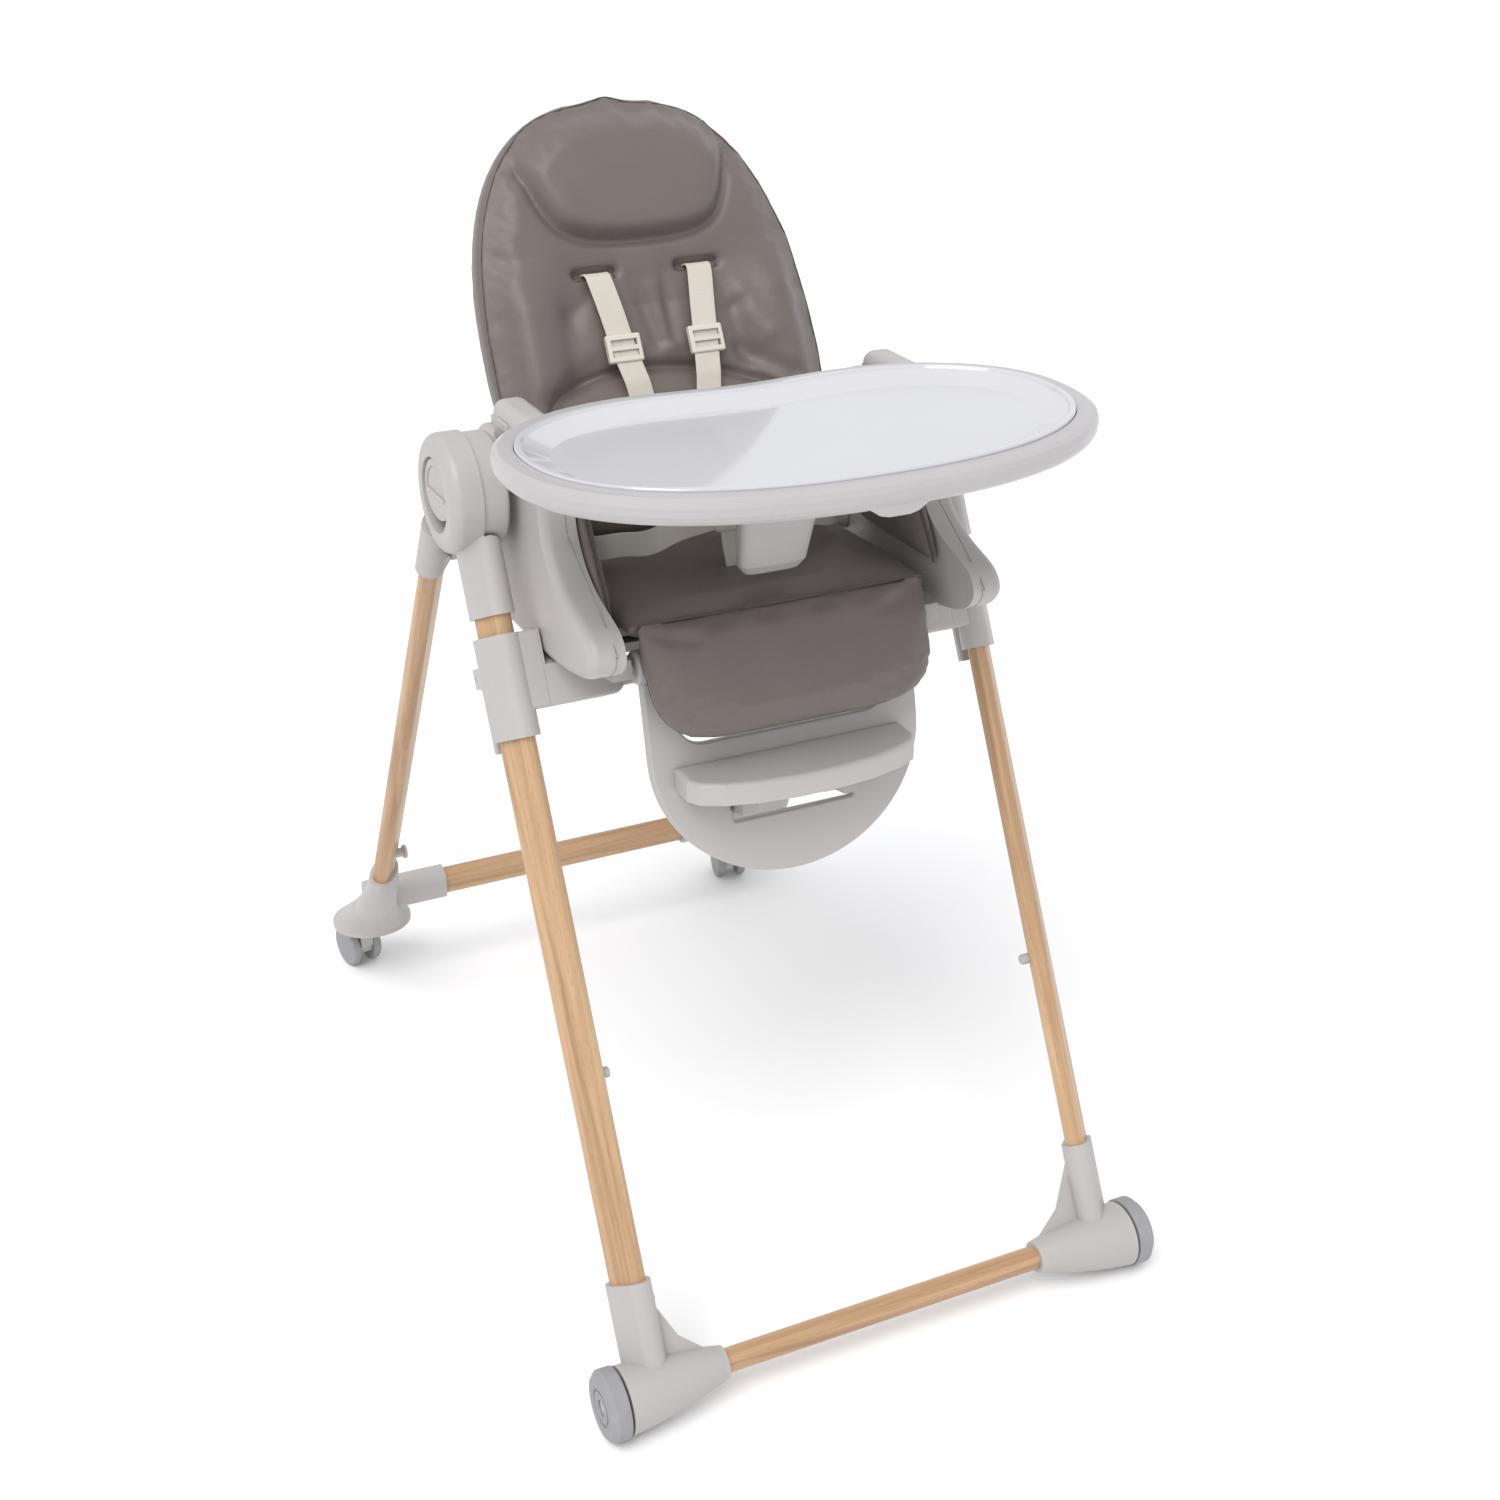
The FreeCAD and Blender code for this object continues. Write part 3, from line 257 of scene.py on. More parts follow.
def beech(name, axis, seed):
    """Clear-lacquered beech: long fibres along `axis`, darker growth bands, short pore flecks."""
    s = Shader(name)
    turn = Vector((0, 0, 1)).rotation_difference(Vector(axis).normalized()).inverted().to_euler()
    aligned = s.mapping((1, 1, 1), tuple(turn))
    shift = s.nodes.new("ShaderNodeVectorMath")
    shift.operation = "ADD"
    shift.inputs[1].default_value = (seed * 0.37, seed * 0.21, seed * 0.53)
    s.link(aligned, shift.inputs[0])
    base = shift.outputs["Vector"]
    bands = s.noise(1.0, 4.0, s.mapping((62.0, 62.0, 2.6), source=base), 0.55, 1.2)
    fibre = s.noise(1.0, 5.0, s.mapping((720.0, 720.0, 17.0), source=base), 0.6)
    flecks = s.noise(1.0, 2.0, s.mapping((900.0, 900.0, 110.0), source=base), 0.5)
    tone = s.ramp(bands, [(0.28, (0.345, 0.198, 0.100)), (0.45, (0.455, 0.282, 0.155)),
                          (0.60, (0.535, 0.350, 0.200)), (0.78, (0.605, 0.415, 0.250))])
    fibre_tone = s.ramp(fibre, [(0.3, (0.80, 0.76, 0.70)), (0.7, (1.08, 1.06, 1.04))])
    fine = s.mix(0.55, tone, fibre_tone, "MULTIPLY")
    dots = s.ramp(flecks, [(0.0, (1, 1, 1)), (0.60, (1, 1, 1)),
                           (0.70, (0.80, 0.70, 0.60)), (1.0, (0.74, 0.64, 0.54))])
    s.colour(s.mix(0.65, fine, dots, "MULTIPLY"))
    s.rough(s.span(fibre, 0.34, 0.46, 0.3, 0.7))
    s.bump(fibre, 0.10, 0.0004)
    s.bump(flecks, 0.05, 0.0003)
    s.set(IOR=1.5, Coat_Weight=0.22, Coat_Roughness=0.22)
    return s.material


def webbing(name, colour):
    """Flat-woven webbing on UVs in metres: ribs across the strap, warp threads along it."""
    s = Shader(name)
    uv = s.nodes.new("ShaderNodeTexCoord").outputs["UV"]

    def wave(scale, direction):
        node = s.nodes.new("ShaderNodeTexWave")
        node.wave_type, node.bands_direction = "BANDS", direction
        node.inputs["Scale"].default_value = scale
        node.inputs["Distortion"].default_value = 0.5
        node.inputs["Detail"].default_value = 1.0
        node.inputs["Detail Scale"].default_value = 2.0
        s.link(uv, node.inputs["Vector"])
        return node.outputs["Fac"]

    weft, warp = wave(230.0, "Y"), wave(330.0, "X")
    weave = s.math("MULTIPLY", weft, warp)
    tone = s.ramp(weave, [(0.0, scaled(colour, 0.86)), (0.5, colour), (1.0, scaled(colour, 1.05))])
    dirt = s.ramp(s.noise(35.0, 4.0), [(0.3, (0.95, 0.94, 0.92)), (0.7, (1.0, 1.0, 1.0))])
    s.colour(s.mix(0.8, tone, dirt, "MULTIPLY"))
    s.rough(s.span(weave, 0.70, 0.86))
    s.bump(weave, 0.5, 0.0004)
    s.bump(s.noise(3000.0, 2.0), 0.2, 0.0002)
    s.set(Sheen_Weight=0.25, Sheen_Roughness=0.5, IOR=1.45)
    return s.material


def clear_insert(name, colour):
    """Glossy, faintly milky moulded insert with hairline scratches."""
    s = Shader(name)
    cloud = s.noise(6.0, 3.0)
    s.colour(s.ramp(cloud, [(0.3, scaled(colour, 0.98)), (0.7, scaled(colour, 1.02))]))
    scratches = s.noise(1.0, 3.0, s.mapping((40.0, 900.0, 40.0), (0, 0, 0.5)))
    s.rough(s.span(scratches, 0.05, 0.13, 0.35, 0.7))
    s.bump(s.noise(14.0, 2.0), 0.03, 0.003)
    s.set(IOR=1.50, Coat_Weight=0.25, Coat_Roughness=0.04)
    return s.material


def rubbery(name, colour):
    """Soft-tread moulding with dust held in a fine grain."""
    s = Shader(name)
    dust = s.noise(90.0, 5.0)
    s.colour(s.ramp(dust, [(0.35, scaled(colour, 0.95)), (0.7, scaled(colour, 1.06))]))
    s.rough(s.span(dust, 0.50, 0.68, 0.3, 0.7))
    s.bump(s.noise(1500.0, 2.0), 0.12, 0.0004)
    s.set(IOR=1.5)
    return s.material


def plated(name, colour):
    """Plated steel pin: turned lines round the axis."""
    s = Shader(name)
    lines = s.noise(1.0, 3.0, s.mapping((2600.0, 60.0, 60.0)))
    s.colour(s.ramp(lines, [(0.3, scaled(colour, 0.9)), (0.7, scaled(colour, 1.05))]))
    s.rough(s.span(lines, 0.22, 0.38, 0.3, 0.7))
    s.bump(lines, 0.06, 0.0002)
    s.set(Metallic=1.0)
    return s.material


def thread(name, colour):
    s = Shader(name)
    twist = s.noise(1800.0, 2.0)
    s.colour(s.ramp(twist, [(0.3, scaled(colour, 0.8)), (0.7, scaled(colour, 1.15))]))
    s.rough(s.span(twist, 0.55, 0.75))
    s.bump(twist, 0.4, 0.0003)
    s.set(IOR=1.45)
    return s.material


SHELL = (0.425, 0.404, 0.395)
TAUPE = (0.158, 0.131, 0.121)
materials = {
    "frame_plastic": moulded("frame_plastic", SHELL),
    "seat_plastic": moulded("seat_plastic", scaled(SHELL, 1.03), (0.34, 0.48)),
    # seam_plastic is the shell plastic darkened as painted shade, standing in for the shade in the shells'
    # parting-line gaps
    "seam_plastic": moulded("seam_plastic", scaled(SHELL, 0.62)),
    "tray_plastic": moulded("tray_plastic", (0.440, 0.426, 0.430), (0.26, 0.36), 0.02, 0.12),
    "insert_plastic": clear_insert("insert_plastic", (0.590, 0.590, 0.612)),
    "wheel_plastic": rubbery("wheel_plastic", (0.29, 0.29, 0.30)),
    "steel": plated("steel", (0.62, 0.61, 0.60)),
    "leatherette": leatherette("leatherette", TAUPE),
    "webbing": webbing("webbing", (0.67, 0.63, 0.56)),
    "harness_plastic": moulded("harness_plastic", (0.63, 0.595, 0.535), (0.30, 0.42), 0.03),
}
THREAD = thread("seam_thread", scaled(TAUPE, 0.55))
HEM = thread("hem_binding", scaled(TAUPE, 0.40))


def dress_cad_nodes():
    """Give every CAD node its slot's material; the wooden bars get grain along their own axis."""
    front = JOINTS["seat_height"]["axis"]
    low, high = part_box("rear_leg_left")
    rear = (0, -(high.y - low.y - 0.03), high.z - low.z)
    grain = {"front_leg_left": front, "front_leg_right": front, "rear_leg_left": rear,
             "rear_leg_right": rear, "front_crossbar": (1, 0, 0), "rear_crossbar": (1, 0, 0)}
    woods = {name: beech("beech_" + name, axis, k + 1) for k, (name, axis) in enumerate(grain.items())}
    slots = {part["node"]: part["material_slot"] for part in RECORD["subparts"]}
    for name, node in frame["nodes"].items():
        material = woods.get(name) or materials[slots[name]]
        node.data.materials.clear()
        node.data.materials.append(material)


# ---- mesh building blocks ------------------------------------------------------------------------
def make_mesh(name, vertices, faces, material, rounded=True):
    mesh = bpy.data.meshes.new(name)
    mesh.from_pydata([tuple(v) for v in vertices], [], faces)
    mesh.validate()
    mesh.update()
    if rounded:
        mesh.polygons.foreach_set("use_smooth", [True] * len(mesh.polygons))
    piece = bpy.data.objects.new(name, mesh)
    bpy.context.scene.collection.objects.link(piece)
    mesh.materials.append(material)
    return piece


def points_of(piece):
    co = np.zeros(len(piece.data.vertices) * 3)
    piece.data.vertices.foreach_get("co", co)
    return co.reshape(-1, 3)


def set_points(piece, co):
    piece.data.vertices.foreach_set("co", np.asarray(co, np.float32).ravel())
    piece.data.update()


def bake_modifiers(piece):
    """Replace the piece's mesh with what its modifiers give."""
    graph = bpy.context.evaluated_depsgraph_get()
    made = bpy.data.meshes.new_from_object(piece.evaluated_get(graph))
    piece.modifiers.clear()
    old = piece.data
    piece.data = made
    bpy.data.meshes.remove(old)
    made.polygons.foreach_set("use_smooth", [True] * len(made.polygons))


def swept_faces(rings, size):
    """Faces of a closed section of `size` points repeated over `rings` rings, with both ends capped."""
    faces = []
    for start in range(0, (rings - 1) * size, size):
        for k in range(size):
            a, b = start + k, start + (k + 1) % size
            faces.append((a, b, b + size, a + size))
    faces.append(tuple(reversed(range(size))))
    faces.append(tuple((rings - 1) * size + k for k in range(size)))
    return faces


def ring_pad(name, outline, centre, profile, place, material):
    """Closed pad: the outline's rings, each scaled about `centre`, stacked at the profile's depths."""
    rows, faces = [], []
    count = len(outline)
    for scale, depth in profile:
        for x, up in outline:
            rows.append(place(centre[0] + (x - centre[0]) * scale,
                              centre[1] + (up - centre[1]) * scale, depth))
    for ring in range(len(profile) - 1):
        for k in range(count):
            a, b = ring * count + k, ring * count + (k + 1) % count
            faces.append((a, b, b + count, a + count))
    front, back = len(rows), len(rows) + 1
    rows.append(place(*centre, profile[0][1]))
    rows.append(place(*centre, profile[-1][1]))
    last = (len(profile) - 1) * count
    faces += [(front, (k + 1) % count, k) for k in range(count)]
    faces += [(back, last + k, last + (k + 1) % count) for k in range(count)]
    return make_mesh(name, rows, faces, material)


def remesh(piece, voxel):
    modifier = piece.modifiers.new("even_faces", "REMESH")
    modifier.mode = "VOXEL"
    modifier.voxel_size = voxel
    bake_modifiers(piece)


CLOTH_FRAMES = 20
CLOTH_STIFFNESS = 12.0
FREE_SHARE = 0.12                        # share of the cloth's move that is kept in every direction


def stuff(piece, held, cap, outward, pressure=4.0):
    """Blow the pad up from inside as cloth, mostly along `outward` and by no more than `cap`.

    `held` marks the vertices that lie on something and stay put."""
    before = points_of(piece)
    group = piece.vertex_groups.new(name="held")
    group.add([int(k) for k in np.nonzero(held)[0]], 1.0, "REPLACE")
    cloth = piece.modifiers.new("stuffing", "CLOTH")
    settings = cloth.settings
    settings.quality = 4
    settings.mass = 0.25
    settings.tension_stiffness = CLOTH_STIFFNESS
    settings.compression_stiffness = CLOTH_STIFFNESS
    settings.shear_stiffness = CLOTH_STIFFNESS / 2
    settings.bending_stiffness = 0.6
    settings.use_pressure = True
    settings.uniform_pressure_force = pressure
    settings.vertex_group_mass = "held"
    settings.effector_weights.gravity = 0.0
    scene = bpy.context.scene
    for step in range(1, CLOTH_FRAMES + 1):
        scene.frame_set(step)
    graph = bpy.context.evaluated_depsgraph_get()
    shaped = piece.evaluated_get(graph).to_mesh()
    after = np.zeros(len(shaped.vertices) * 3)
    shaped.vertices.foreach_get("co", after)
    after = after.reshape(-1, 3)
    piece.modifiers.clear()
    outward = np.array(outward)
    rise = (after - before) @ outward
    move = FREE_SHARE * (after - before) + (1 - FREE_SHARE) * rise[:, None] * outward
    length = np.linalg.norm(move, axis=1, keepdims=True)
    move *= np.minimum(1.0, cap / np.maximum(length, 1e-9))
    set_points(piece, before + move)
    scene.frame_set(1)


def subdivide(piece):
    modifier = piece.modifiers.new("finer", "SUBSURF")
    modifier.levels = modifier.render_levels = 1
    bake_modifiers(piece)


def smooth(points, per_span=8):
    """Catmull-Rom points through the given ones."""
    points = [Vector(p) for p in points]
    last = len(points) - 1
    made = []
    for k in range(last):
        a, b, c, d = points[max(0, k - 1)], points[k], points[k + 1], points[min(last, k + 2)]
        for step in range(per_span):
            t = step / per_span
            made.append(0.5 * ((2 * b) + (c - a) * t + (2 * a - 5 * b + 4 * c - d) * t * t
                               + (3 * b - a - 3 * c + d) * t ** 3))
    made.append(points[-1])
    return made


def distance_to(path, co):
    """Least distance from each row of co to an open polyline in two dimensions."""
    path = np.asarray(path, float)
    best = np.full(len(co), 1e9)
    for a, b in zip(path[:-1], path[1:]):
        run = b - a
        share = np.clip(((co - a) @ run) / max(run @ run, 1e-12), 0, 1)
        best = np.minimum(best, np.linalg.norm(co - a - share[:, None] * run, axis=1))
    return best


def flat_smooth(points, per_span=8):
    return [(p.x, p.y) for p in smooth([(x, y, 0) for x, y in points], per_span)]


BEAD_SIDES = 8


def tube(name, path, radius, material):
    """Round bead along a path."""
    rows = []
    last = len(path) - 1
    normal = None
    for k, point in enumerate(path):
        tangent = (path[min(k + 1, last)] - path[max(k - 1, 0)]).normalized()
        if normal is None:
            normal = tangent.orthogonal().normalized()
        normal = (normal - tangent * normal.dot(tangent)).normalized()
        side = tangent.cross(normal)
        for s in range(BEAD_SIDES):
            angle = 2 * math.pi * s / BEAD_SIDES
            rows.append(point + normal * (radius * math.cos(angle)) + side * (radius * math.sin(angle)))
    return make_mesh(name, rows, swept_faces(len(path), BEAD_SIDES), material)


def ribbon(name, path, width, thickness, material, across=None):
    """Webbing along a path with rolled edges, its width along `across` (a vector per path point)."""
    half, roll = width / 2, thickness / 2
    section = [(-half, 0), (-half + roll * 0.5, roll * 0.85), (-half + 1.6 * roll, roll),
               (-half * 0.5, roll * 0.8), (0, roll * 0.8), (half * 0.5, roll * 0.8),
               (half - 1.6 * roll, roll), (half - roll * 0.5, roll * 0.85), (half, 0)]
    section += [(x, -y) for x, y in reversed(section[1:-1])]
    size = len(section)
    rows, runs = [], [0.0]
    for k, point in enumerate(path):
        ahead, behind = path[min(k + 1, len(path) - 1)], path[max(k - 1, 0)]
        tangent = (ahead - behind).normalized()
        side = Vector(across[k]) if across else Vector((1, 0, 0))
        side = (side - tangent * side.dot(tangent)).normalized()
        normal = tangent.cross(side)
        rows += [point + side * x + normal * y for x, y in section]
        if k:
            runs.append(runs[-1] + (point - path[k - 1]).length)
    piece = make_mesh(name, rows, swept_faces(len(path), size), material)
    layer = piece.data.uv_layers.new(name="weave")
    for polygon in piece.data.polygons:
        for loop in polygon.loop_indices:
            vertex = piece.data.loops[loop].vertex_index
            layer.data[loop].uv = (section[vertex % size][0], runs[vertex // size])
    return piece


def stitches(name, path, length, gap, radius, material):
    """A row of thread stitches along a path, as one piece."""
    rows, faces, travelled = [], [], 0.0
    steps = [0.0]
    for a, b in zip(path, path[1:]):
        steps.append(steps[-1] + (b - a).length)

    def at(distance):
        for i in range(1, len(steps)):
            if distance <= steps[i]:
                share = (distance - steps[i - 1]) / max(steps[i] - steps[i - 1], 1e-9)
                return path[i - 1].lerp(path[i], share)
        return path[-1]

    while travelled + length < steps[-1]:
        a, b = at(travelled), at(travelled + length)
        along = (b - a).normalized()
        side = along.orthogonal().normalized()
        other = along.cross(side)
        base = len(rows)
        for point, size in ((a, 0.45), (a.lerp(b, 0.25), 1.0), (a.lerp(b, 0.75), 1.0), (b, 0.45)):
            for s in range(6):
                angle = math.pi * s / 3
                rows.append(point + (side * math.cos(angle) + other * math.sin(angle)) * (radius * size))
        for ring in range(3):
            for s in range(6):
                p, q = base + ring * 6 + s, base + ring * 6 + (s + 1) % 6
                faces.append((p, q, q + 6, p + 6))
        faces.append(tuple(base + s for s in reversed(range(6))))
        faces.append(tuple(base + 18 + s for s in range(6)))
        travelled += length + gap
    return make_mesh(name, rows, faces, material)


# ---- backrest cover ------------------------------------------------------------------------------
def back_half_width(up):
    if up >= BACK_MID:
        share = min(1.0, (up - BACK_MID) / (BACK_TOP - BACK_MID))
        return BACK_HALF * (1 - share ** BACK_POWER) ** (1 / BACK_POWER)
    return BACK_HALF - 0.017 * ((BACK_MID - up) / BACK_MID) ** 1.4


FOOT_SHARES = (-0.75, -0.5, -0.25, 0.0, 0.25, 0.5, 0.75)   # points along the cover's lower edge
SIDE_STEPS, TOP_STEPS = 14, 18


def back_outline(inset=0.0):
    """Lower edge, right side upward, over the top and down the left side, as (x, up)."""
    low = BACK_FOOT + inset
    levels = [low + (BACK_MID - low) * k / SIDE_STEPS for k in range(SIDE_STEPS)]
    levels += [BACK_MID + (BACK_TOP - BACK_MID) * math.sin(math.pi / 2 * k / TOP_STEPS) ** (2 / BACK_POWER)
               for k in range(TOP_STEPS)]
    right = [(max(0.0, back_half_width(up) - inset), up) for up in levels]
    foot = [(right[0][0] * share, low) for share in FOOT_SHARES]
    return foot + right + [(0.0, BACK_TOP - inset)] + [(-x, up) for x, up in reversed(right)]


def bell(distance, width):
    return np.exp(-(distance / width) ** 2)


# Strap slots and seam lines as (x, up) on the backrest's plane.
SLOT_X, SLOT_UP = 0.051, 0.244
BACK_SLOTS = [(-SLOT_X, SLOT_UP), (SLOT_X, SLOT_UP)]
BACK_CENTRE_UP = 0.195
PILLOW_RIGHT = [(0.028, 0.271), (0.055, 0.275), (0.076, 0.286), (0.089, 0.305), (0.098, 0.330),
                (0.108, 0.357), (0.116, 0.372)]
PILLOW_EDGE = [(-x, up) for x, up in reversed(PILLOW_RIGHT)] + [(0.0, 0.270)] + PILLOW_RIGHT
LUMBAR_SEAM = [(-0.128, 0.108), (-0.109, 0.133), (-0.066, 0.150), (-0.016, 0.154), (0.033, 0.148),
               (0.090, 0.127), (0.124, 0.100)]
# Folds pressed into the cover between the slots, the sides and the lumbar seam:
# (start, end, width, depth), with a negative depth for a raised ridge.
BACK_FOLDS = [((-0.051, 0.236), (-0.082, 0.205), 0.010, 0.0040), ((-0.082, 0.225), (-0.088, 0.150), 0.013, 0.0050),
              ((-0.014, 0.236), (-0.002, 0.176), 0.0075, 0.0042), ((0.004, 0.226), (0.010, 0.170), 0.0075, -0.0030),
              ((0.016, 0.240), (0.013, 0.178), 0.0070, 0.0038), ((-0.030, 0.250), (-0.042, 0.268), 0.006, 0.0026),
              ((0.060, 0.236), (0.082, 0.202), 0.009, 0.0040), ((0.084, 0.208), (0.104, 0.170), 0.012, -0.0045),
              ((0.074, 0.196), (0.082, 0.150), 0.011, 0.0046), ((0.078, 0.158), (0.120, 0.128), 0.009, 0.0044),
              ((-0.070, 0.158), (-0.120, 0.128), 0.010, 0.0040), ((0.066, 0.252), (0.100, 0.262), 0.008, -0.0022)]


def shape_backrest(co):
    """Seams, folds and puckers pressed into the stuffed cover's front."""
    local = BACK.local(co)
    x, up, depth = local.T
    plan = local[:, :2]
    facing = np.clip((depth + 0.012) / 0.012, 0, 1)
    half = np.array([back_half_width(u) for u in np.clip(up, BACK_FOOT, BACK_TOP)])
    inward = np.clip((half - np.abs(x)) / 0.030, 0, 1)
    body = np.clip((0.262 - up) / 0.05, 0, 1)
    wing = 0.011 * bell(np.abs(x) - 0.122, 0.024) * body * inward
    hollow = -0.010 * bell(x, 0.074) * body
    lift = wing + hollow
    below_lumbar = np.clip((0.150 - 1.9 * x ** 2 - up) / 0.02, 0, 1)
    lift += 0.006 * below_lumbar * bell(x, 0.09)
    outline = back_outline()
    border = distance_to(outline[len(FOOT_SHARES):], plan)
    edge_x, edge_up = zip(*[(px, pu) for px, pu in PILLOW_EDGE if px >= 0]
                          + [(0.134, 0.410), (0.170, 0.470)])
    edge = distance_to(flat_smooth(PILLOW_EDGE), plan)
    above = up > np.interp(np.abs(x), edge_x, edge_up)
    rise = np.clip(edge / 0.017, 0, 1)
    lift += above * 0.0125 * rise * (2 - rise) * np.clip(border / 0.040, 0, 1)
    seam = distance_to(flat_smooth(LUMBAR_SEAM), plan)
    lift -= 0.0065 * bell(seam, 0.0048) + 0.0035 * bell(seam, 0.014)
    lift -= 0.0050 * bell(edge, 0.0055) + 0.0022 * bell(edge, 0.018)
    for start, end, width, deep in BACK_FOLDS:
        lift -= deep * bell(distance_to([start, end], plan), width) * body
    for slot_x, slot_up in BACK_SLOTS:
        line = distance_to([(slot_x - 0.018, slot_up), (slot_x + 0.018, slot_up)], plan)
        lift -= 0.0080 * bell(line, 0.0050) + 0.0040 * bell(line, 0.020)
    lift *= facing * np.clip(border / 0.022, 0, 1)
    return co + lift[:, None] * np.array(BACK.front)


def make_backrest():
    outline = back_outline(-0.0035)
    centre = (0.0, BACK_CENTRE_UP)
    back = -BACK_THICK
    profile = [(0.15, 0.0035), (0.40, 0.0035), (0.65, 0.003), (0.85, 0.001), (0.93, -0.001), (0.97, -0.003),
               (0.992, -0.006), (1.0, -0.010), (1.0, -0.017), (1.0, back + 0.010), (0.992, back + 0.005),
               (0.97, back + 0.002), (0.92, back + 0.001), (0.6, back + 0.001), (0.2, back + 0.001)]
    cover = ring_pad("backrest_cover", outline, centre, profile, BACK.at, materials["leatherette"])
    remesh(cover, 0.005)
    depth = BACK.local(points_of(cover))[:, 2]
    stuff(cover, depth < -0.024, 0.0045, BACK.front)
    subdivide(cover)
    co = shape_backrest(points_of(cover))
    local = BACK.local(co)
    over = np.maximum(0, back + 0.0008 - local[:, 2])
    set_points(cover, co + over[:, None] * np.array(BACK.front))
    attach(cover, "backrest")
    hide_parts("backrest_cushion", "headrest_pillow")
    return cover


def on_surface(piece, plane, plan, lift):
    """Points on the piece's front over plan points (x, up), raised by `lift`."""
    shape = piece.evaluated_get(bpy.context.evaluated_depsgraph_get())
    found = []
    for x, up in plan:
        start = plane.at(x, up, 0.12)
        hit, where, _, _ = shape.ray_cast(start, -plane.front)
        found.append((where if hit else plane.at(x, up, 0.0)) + plane.front * lift)
    return found


def make_back_seams(cover):
    """Bead round the cover's rim, found by casting inward from outside it, and stitches round the slots."""
    rim_depth = -0.0085
    rim = [(x * 0.985, BACK_FOOT + (up - BACK_FOOT) * 0.9935)
           for x, up in back_outline(0.0035)[len(FOOT_SHARES):]]
    shape = cover.evaluated_get(bpy.context.evaluated_depsgraph_get())
    made = []
    for x, up in rim:
        outward = Vector((x, 0, 0)) + BACK.up * (up - BACK_CENTRE_UP)
        outward.normalize()
        near = BACK.at(x, up, rim_depth) + outward * 0.03
        hit, where, _, _ = shape.ray_cast(near, -outward)
        made.append((where if hit else BACK.at(x, up, rim_depth)) + outward * 0.0003)
    bead = tube("backrest_rim_seam", smooth(made, 3), 0.0006, THREAD)
    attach(bead, "backrest")
    for k, (slot_x, slot_up) in enumerate(BACK_SLOTS):
        ring = [(slot_x + 0.0175 * sx, slot_up + 0.0055 * su) for sx, su in
                ((-1, -1), (1, -1), (1.12, 0), (1, 1), (-1, 1), (-1.12, 0), (-1, -1))]
        path = on_surface(cover, BACK, flat_smooth(ring, 6), 0.0005)
        row = stitches("slot_stitches_" + ("left", "right")[k], path, 0.0026, 0.0010, 0.00045, THREAD)
        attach(row, "backrest")


# ---- seat ----------------------------------------------------------------------------------------
def make_seat_pad():
    low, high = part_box("seat_cushion")
    half, rear, front = high.x - 0.002, high.y, low.y
    outline = [(half, front + 0.002), (half, (front + rear) / 2), (half, rear), (0, rear), (-half, rear),
               (-half, (front + rear) / 2), (-half, front + 0.002), (0, front)]
    dense = []
    for (x0, y0), (x1, y1) in zip(outline, outline[1:] + outline[:1]):
        dense += [(x0 + (x1 - x0) * k / 8, y0 + (y1 - y0) * k / 8) for k in range(8)]
    top, base = high.z, low.z
    centre = (0.0, (front + rear) / 2)

    def place(x, y, z):
        return Vector((x, y, z))

    profile = [(0.1, top - 0.001), (0.5, top - 0.001), (0.8, top - 0.001), (0.93, top - 0.0015),
               (0.98, top - 0.004), (1.0, top - 0.008), (1.0, base + 0.010), (0.97, base + 0.003), (0.8, base + 0.001), (0.2, base + 0.001)]
    pad = ring_pad("seat_pad", dense, centre, profile, place, materials["leatherette"])
    remesh(pad, 0.005)
    co = points_of(pad)
    stuff(pad, (co[:, 2] < top - 0.014) | (co[:, 1] < front + 0.012), 0.005, (0, 0, 1), 3.0)
    subdivide(pad)
    co = points_of(pad)
    x, y, z = co.T
    upper = np.clip((z - top + 0.015) / 0.010, 0, 1)
    co[:, 2] -= upper * (0.004 * bell(x, 0.07) * bell(y - centre[1] - 0.02, 0.07))
    co[:, 2] += upper * 0.0012 * np.sin(x * 60 + y * 25) * bell(y - front, 0.05)
    reach = np.hypot(co[:, 1] - PIVOT.y, co[:, 2] - PIVOT.z)
    inside = (reach < PIVOT_REACH) & (co[:, 2] < top + 0.004)
    push = np.where(inside, PIVOT_REACH / np.maximum(reach, 1e-6), 1.0)
    co[:, 1] = PIVOT.y + (co[:, 1] - PIVOT.y) * push
    co[:, 2] = PIVOT.z + (co[:, 2] - PIVOT.z) * push
    nose = (np.clip((CREASE.y + 0.030 - co[:, 1]) / 0.022, 0, 1)
            * np.clip((top + 0.002 - co[:, 2]) / 0.009, 0, 1))
    co[:, 1] -= nose * np.clip((co[:, 2] - CREASE.z + 0.006) / 0.004, 0, 1) * 0.0055
    set_points(pad, co)
    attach(pad, "seat")
    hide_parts("seat_cushion")


def make_gusset():
    """Soft strip that closes the gap between the seat pad's rear edge and the backrest's foot."""
    path = smooth([Vector((0, y, z)) for y, z in ((-0.044, 0.6385), (-0.0345, 0.6470), (-0.0275, 0.6545),
                                                  (-0.0225, 0.6625), (-0.0200, 0.6700))], 4)
    columns, rows, section = 48, [], []
    for sign in (1, -1):
        walk = path if sign > 0 else path[::-1]
        for k, point in enumerate(walk):
            ahead, behind = walk[min(k + 1, len(walk) - 1)], walk[max(k - 1, 0)]
            tangent = (ahead - behind).normalized()
            section.append(point + tangent.cross(Vector((1, 0, 0))) * 0.0024)
    for c in range(columns + 1):
        x = 0.1385 * (2 * c / columns - 1)
        for k, point in enumerate(section):
            pucker = 0.0007 * math.sin(x * 210 + k * 0.6)
            rows.append(point + Vector((x, pucker, pucker * 0.5)))
    strip = make_mesh("seat_gusset", rows, swept_faces(columns + 1, len(section)), materials["leatherette"])
    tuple(path[4])
    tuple(path[-3])
    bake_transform(strip)


